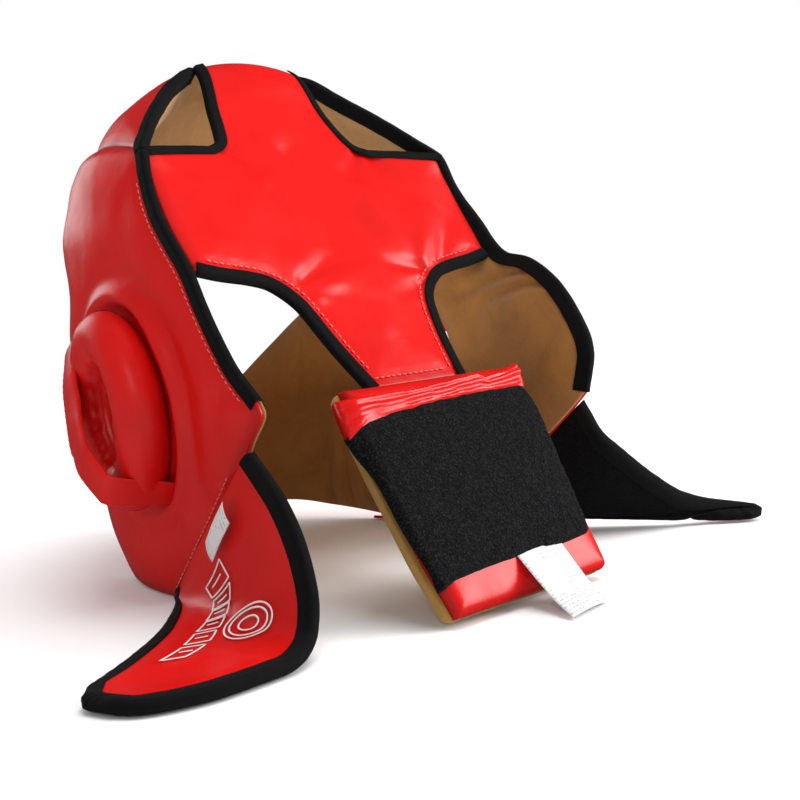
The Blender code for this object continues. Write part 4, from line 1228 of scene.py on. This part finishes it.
def build_print(form, side):
    """Generic outlined blocks in a curved row and three oval rings on the left wing."""
    spine = spline(PRINT_SPINE, 0.012)
    slant = np.array(PRINT_SLANT)
    lines = []
    for i in range(PRINT_BLOCKS):
        first = round((i + 0.04) / PRINT_BLOCKS * (len(spine) - 1))
        last = round((i + 0.86) / PRINT_BLOCKS * (len(spine) - 1))
        half = 0.085 - 0.006 * i
        edge = [spine[j] + half * sign * slant
                for sign, run in ((1, (first, last)), (-1, (last, first))) for j in run]
        lines.append((edge, True))
        middle = (first + last) // 2
        lines.append(([spine[middle] + half * k * slant for k in (-0.55, 0, 0.55)], False))
    turns = np.linspace(0, 2 * math.pi, 33)
    oval = np.column_stack([0.085 * np.cos(turns) - 0.055 * np.sin(turns),
                            0.03 * np.cos(turns) + 0.155 * np.sin(turns)])
    lines += [(OVAL_CENTRE + size * oval, False) for size in OVAL_SIZES]
    ribbon("left_wing_print", form, side, lines)


# ---------------------------------------------------------------- the rear pad and the labels
def pad_loop(inset, top, bottom, corner):
    """Outline of a layer of the pad, with rounded corners."""
    far = PAD_BREADTH - inset
    corners = np.array([(far, top), (far, bottom), (inset, bottom), (inset, top)], float)
    rounded = []
    for before, point, after in zip(np.roll(corners, 1, axis=0), corners,
                                    np.roll(corners, -1, axis=0)):
        arrive = point + unit(before - point) * corner
        leave = point + unit(after - point) * corner
        for t in np.linspace(0, 1, 7):
            rounded.append((1 - t) ** 2 * arrive + 2 * t * (1 - t) * point + t * t * leave)
    closed = np.vstack(rounded + [rounded[0]])
    lengths = lengths_along(closed)
    loop = at_lengths(np.linspace(0, lengths[-1], round(lengths[-1] / 2.0) + 1)[:-1], lengths,
                      closed)
    left = smooth(PAD_LEFT, loop[:, 1])[:, 0]
    right = smooth(PAD_RIGHT, loop[:, 1])[:, 0]
    loop[:, 0] = right + (left - right) * loop[:, 0] / PAD_BREADTH
    return loop


def pad_layer(name, loop, finish, top, bottom, replaced, cell=2.4):
    """Closed layer of the rear pad between two heights, each made from the pattern."""
    pattern = Pattern(loop, cell=cell)
    made = pattern.body(name, pad_form, top(pattern), bottom(pattern), finish, "rear_pad", replaced)


def build_pad():
    """Rear pad: suede back and sides, leather front, loop patch and the folded leather top."""
    def face_top(pattern):
        """The leather front, rounded over at its edge."""
        return (PAD_FRONT + 0.9 * ease(pattern.rise / 18) - 4.0 * shoulder(pattern.rise, 6)
                + 0.35 * lumps(pattern.points, 15, 21.5))

    def face_bottom(pattern):
        """Underside of the leather front."""
        return 3.5 - 0.8 * shoulder(pattern.rise, 7)

    def back_top(pattern):
        """Front of the suede shell."""
        return 3.3 - 0.5 * shoulder(pattern.rise, 4)

    def back_bottom(pattern):
        """Back of the suede shell, swollen and rounded over at its edge."""
        return (PAD_BACK - 0.8 * ease(pattern.rise / 20) + 4.5 * shoulder(pattern.rise, 6)
                + 0.4 * lumps(pattern.points, 18, 22.5))

    face = pad_loop(-0.8, 2, 116.4, 4)
    face[:, 0] = np.minimum(face[:, 0], smooth(PAD_LEFT, face[:, 1])[:, 0] - 3.6)
    pad_layer("rear_pad_front", face, "gloss", face_top, face_bottom,
              ("rear_pad_cover", "rear_pad_foam"))
    pad_layer("rear_pad_suede", pad_loop(0.6, 2, 116.6, 4), "pad_suede", back_top, back_bottom,
              ("rear_pad_backing",))

    def wrap(pattern):
        """How far the patch is drawn back round the pad's left side."""
        beyond = pattern.points[:, 0] - smooth(PAD_LEFT, pattern.points[:, 1])[:, 0]
        return 5.0 * ease((beyond + 3) / 8)

    def patch_top(pattern):
        """The pile's uneven face."""
        fuzz = 0.3 * lumps(pattern.points, 1.7, 31.5) + 0.4 * lumps(pattern.points, 4.5, 32.5)
        fuzz += 0.5 * lumps(pattern.points, 22, 33.5)
        return (PAD_FRONT + 2.6 + fuzz + 0.7 * ease(pattern.rise / 15)
            - 1.7 * shoulder(pattern.rise, 2.0) - wrap(pattern))

    def patch_bottom(pattern):
        """Underside of the loop patch."""
        return PAD_FRONT + 0.4 - wrap(pattern)

    pad_layer("rear_loop_pile", outline(*PATCH_SIDES), "loop", patch_top,
              patch_bottom, ("rear_loop_patch",), cell=1.15)
    build_flap()


def build_flap():
    """Leather rolled over the pad's top, with a wavy upper edge and three ridges across it."""
    sections = []
    for x in np.linspace(64.5, -52, 170):
        wave = noise.noise(Vector((x / 17, 0.3, 41.5)))
        ripple = noise.noise(Vector((x / 9, 0.8, 42.5)))
        top = smooth(FLAP_TOP, [x])[0, 0] + 0.6 * ripple
        bottom = smooth(FLAP_BOTTOM, [x])[0, 0]
        wrap = 4.0 * max(0.0, (x - 56) / 9) ** 1.5
        profile = []
        for turn in np.linspace(0, 2 * math.pi, 40, endpoint=False):
            t = (1 - math.cos(turn)) / 2
            below = top + (bottom - top) * t
            front = math.sin(turn) > 0
            if front:
                ridge = 1.9 * math.exp(-((t - 0.12 - 0.08 * wave) / 0.10) ** 2)
                ridge += 2.3 * math.exp(-((t - 0.44 + 0.14 * wave) / 0.10) ** 2)
                ridge += (0.9 + ripple) * math.exp(-((t - 0.72 - 0.12 * ripple) / 0.10) ** 2)
                height = PAD_FRONT + (2.4 + ridge + 0.4 * ripple) * math.sin(turn) ** 0.4 - wrap
            else:
                height = PAD_FRONT - 2.8 * abs(math.sin(turn)) ** 0.5 - wrap
            profile.append((x, below, height))
        profile = np.array(profile)
        sections.append(raised(pad_form, profile[:, :2], profile[:, 2]))
    flap = sweep("rear_pad_roll", sections, "gloss", "rear_pad", ("rear_pad_flap",))


def label_sheet(name, centres, across, up, body, replaced):
    """Thin woven label through a line of middles, each with its direction across and up."""
    columns = 16
    share = np.linspace(-0.5, 0.5, columns + 1)
    bow = LABEL_BOW * (1 - 4 * share ** 2)
    rows = len(centres)
    skins = [middle + np.outer(share, over) + np.outer(height + bow, normal)
             for height in (0.28, -0.02) for middle, over, normal in zip(centres, across, up)]
    lengths = lengths_along(centres)
    width = float(np.linalg.norm(across[0]))
    uvs = np.column_stack([np.repeat(lengths, columns + 1), np.tile(share * width, rows)]) * LABEL_UV
    made = make(name, np.vstack(skins), grid_faces(rows - 1, columns), "label", body, replaced,
                uvs=np.vstack([uvs, uvs]))


def build_labels():
    """White care label that lies out of the patch, and the small one in the left wing's seam."""
    line = spline(LABEL_LINE, 1.2)
    ahead = headings(line)
    share = np.linspace(0, 1, len(line))[:, None]
    across = LABEL_WIDTH * unit(np.array([1.0, 0.02, 0.0]) + share * np.array([0.0, 0.16, 0.03]))
    normal = np.cross(across, ahead)
    normal = unit(np.where(normal[:, 2:3] < 0, -normal, normal))
    curl = 1.2 * np.sin(share * math.pi)
    line = line + normal * curl
    label_sheet("white_care_label", line, across, normal, LABEL_BEND, ("care_label",))
    side = spline(SIDE_LABEL_LINE, 1.5)
    over = 1.05 * np.array(SIDE_LABEL_ACROSS, float) * np.ones((len(side), 1))
    out = unit(np.cross(over, headings(side)))
    out = np.where(out[:, :1] < 0, -out, out)
    middles = side + over / 2 + out * 0.4
    label_sheet("white_side_label", middles, over, out, LEFT_SEAM_BEND, ("side_label",))


# ---------------------------------------------------------------- floor, lights and camera
def build_floor():
    """Plain pale floor."""
    mesh = bpy.data.meshes.new("floor")
    corners = ((-1, -1), (1, -1), (1, 1), (-1, 1))
    mesh.from_pydata([(x * FLOOR_REACH, y * FLOOR_REACH, 0) for x, y in corners], [],
                     [(0, 1, 2, 3)])
    floor = bpy.data.objects.new("floor", mesh)
    floor.location.z = -FLOOR_DROP
    bpy.context.scene.collection.objects.link(floor)
    made, tree, shader = new_material("pale_floor", (0.93, 0.93, 0.93), 0.28)
    clouds = texture(tree, "Noise", 3.0, Detail=2.0)
    tree.links.new(ramp(tree, clouds.outputs["Fac"], ((0.2, 0.92), (0.8, 0.94))),
                   shader.inputs["Base Color"])
    shader.inputs["Specular IOR Level"].default_value = 0.0
    mesh.materials.append(made)
    floor.visible_glossy = False


def build_light(name, place, target, size, power, glossy):
    """Soft rectangular light at a place, aimed at a target."""
    lamp = bpy.data.lights.new(name, "AREA")
    lamp.shape = "RECTANGLE"
    lamp.size, lamp.size_y = size
    lamp.energy = power
    made = bpy.data.objects.new(name, lamp)
    made.location = place
    made.visible_glossy = glossy
    aim = Vector(target) - Vector(place)
    made.rotation_euler = aim.to_track_quat("-Z", "Y").to_euler()
    bpy.context.scene.collection.objects.link(made)


def build_sky_light():
    """Broad distant softbox overhead."""
    lamp = bpy.data.lights.new("overhead", "SUN")
    lamp.angle = math.radians(SKY_SPREAD)
    lamp.energy = SKY_STRENGTH
    made = bpy.data.objects.new("overhead", lamp)
    made.visible_glossy = False
    made.rotation_euler = (-Vector(SKY_SOURCE)).to_track_quat("-Z", "Y").to_euler()
    bpy.context.scene.collection.objects.link(made)


def build_studio():
    """White surroundings, dimmer in reflections than on dull surfaces, and the soft lights."""
    world = bpy.data.worlds.new("studio")
    world.use_nodes = True
    tree = world.node_tree
    back = tree.nodes["Background"]
    back.inputs["Color"].default_value = (1, 1, 1, 1)
    rays = tree.nodes.new("ShaderNodeLightPath")
    seen = maths(tree, "MULTIPLY", rays.outputs["Is Camera Ray"], 1.0 - FILL)
    gloss = maths(tree, "MULTIPLY", rays.outputs["Is Glossy Ray"], FILL - FILL_IN_GLOSS)
    strength = maths(tree, "SUBTRACT", maths(tree, "ADD", seen, FILL), gloss)
    tree.links.new(strength, back.inputs["Strength"])
    bpy.context.scene.world = world
    build_sky_light()
    for light in AREA_LIGHTS:
        build_light(*light)
    bpy.context.scene.view_settings.view_transform = "Standard"


def build_camera():
    """Camera at the left rear, a little above the pad."""
    yaw, pitch, roll = (math.radians(turn) for turn in (CAMERA_YAW, CAMERA_PITCH, CAMERA_ROLL))
    back = Vector((math.sin(yaw) * math.cos(pitch), math.cos(yaw) * math.cos(pitch),
                   math.sin(pitch)))
    level = Vector((-math.cos(yaw), math.sin(yaw), 0))
    upright = back.cross(level)
    right = level * math.cos(roll) + upright * math.sin(roll)
    up = upright * math.cos(roll) - level * math.sin(roll)
    place = Vector(CAMERA_AIM) + back * CAMERA_DISTANCE + right * CAMERA_RIGHT + up * CAMERA_UP
    place = (place - Vector((*FOOTPRINT_MIDDLE, 0))) * METRES
    lens = bpy.data.cameras.new("camera")
    lens.lens = CAMERA_LENS
    lens.sensor_width = CAMERA_SENSOR
    lens.clip_start = 0.01
    made = bpy.data.objects.new("camera", lens)
    made.matrix_world = Matrix(((right.x, up.x, back.x, place.x), (right.y, up.y, back.y, place.y),
                                (right.z, up.z, back.z, place.z), (0, 0, 0, 1)))
    bpy.context.scene.collection.objects.link(made)
    bpy.context.scene.camera = made


def main():
    """Build the stage and every piece."""
    build_camera()
    build_studio()
    build_floor()
    build_crown()
    build_side("left", 1, LEFT_WING_SEAM, LEFT_CORNER, LEFT_REAR_EDGE, 2.5)
    build_side("right", -1, RIGHT_WING_SEAM, RIGHT_CORNER, RIGHT_REAR_EDGE, 6.5)
    build_rear()
    build_bindings()
    build_hems()
    build_ears()
    build_wings()
    build_pad()
    build_labels()


main()
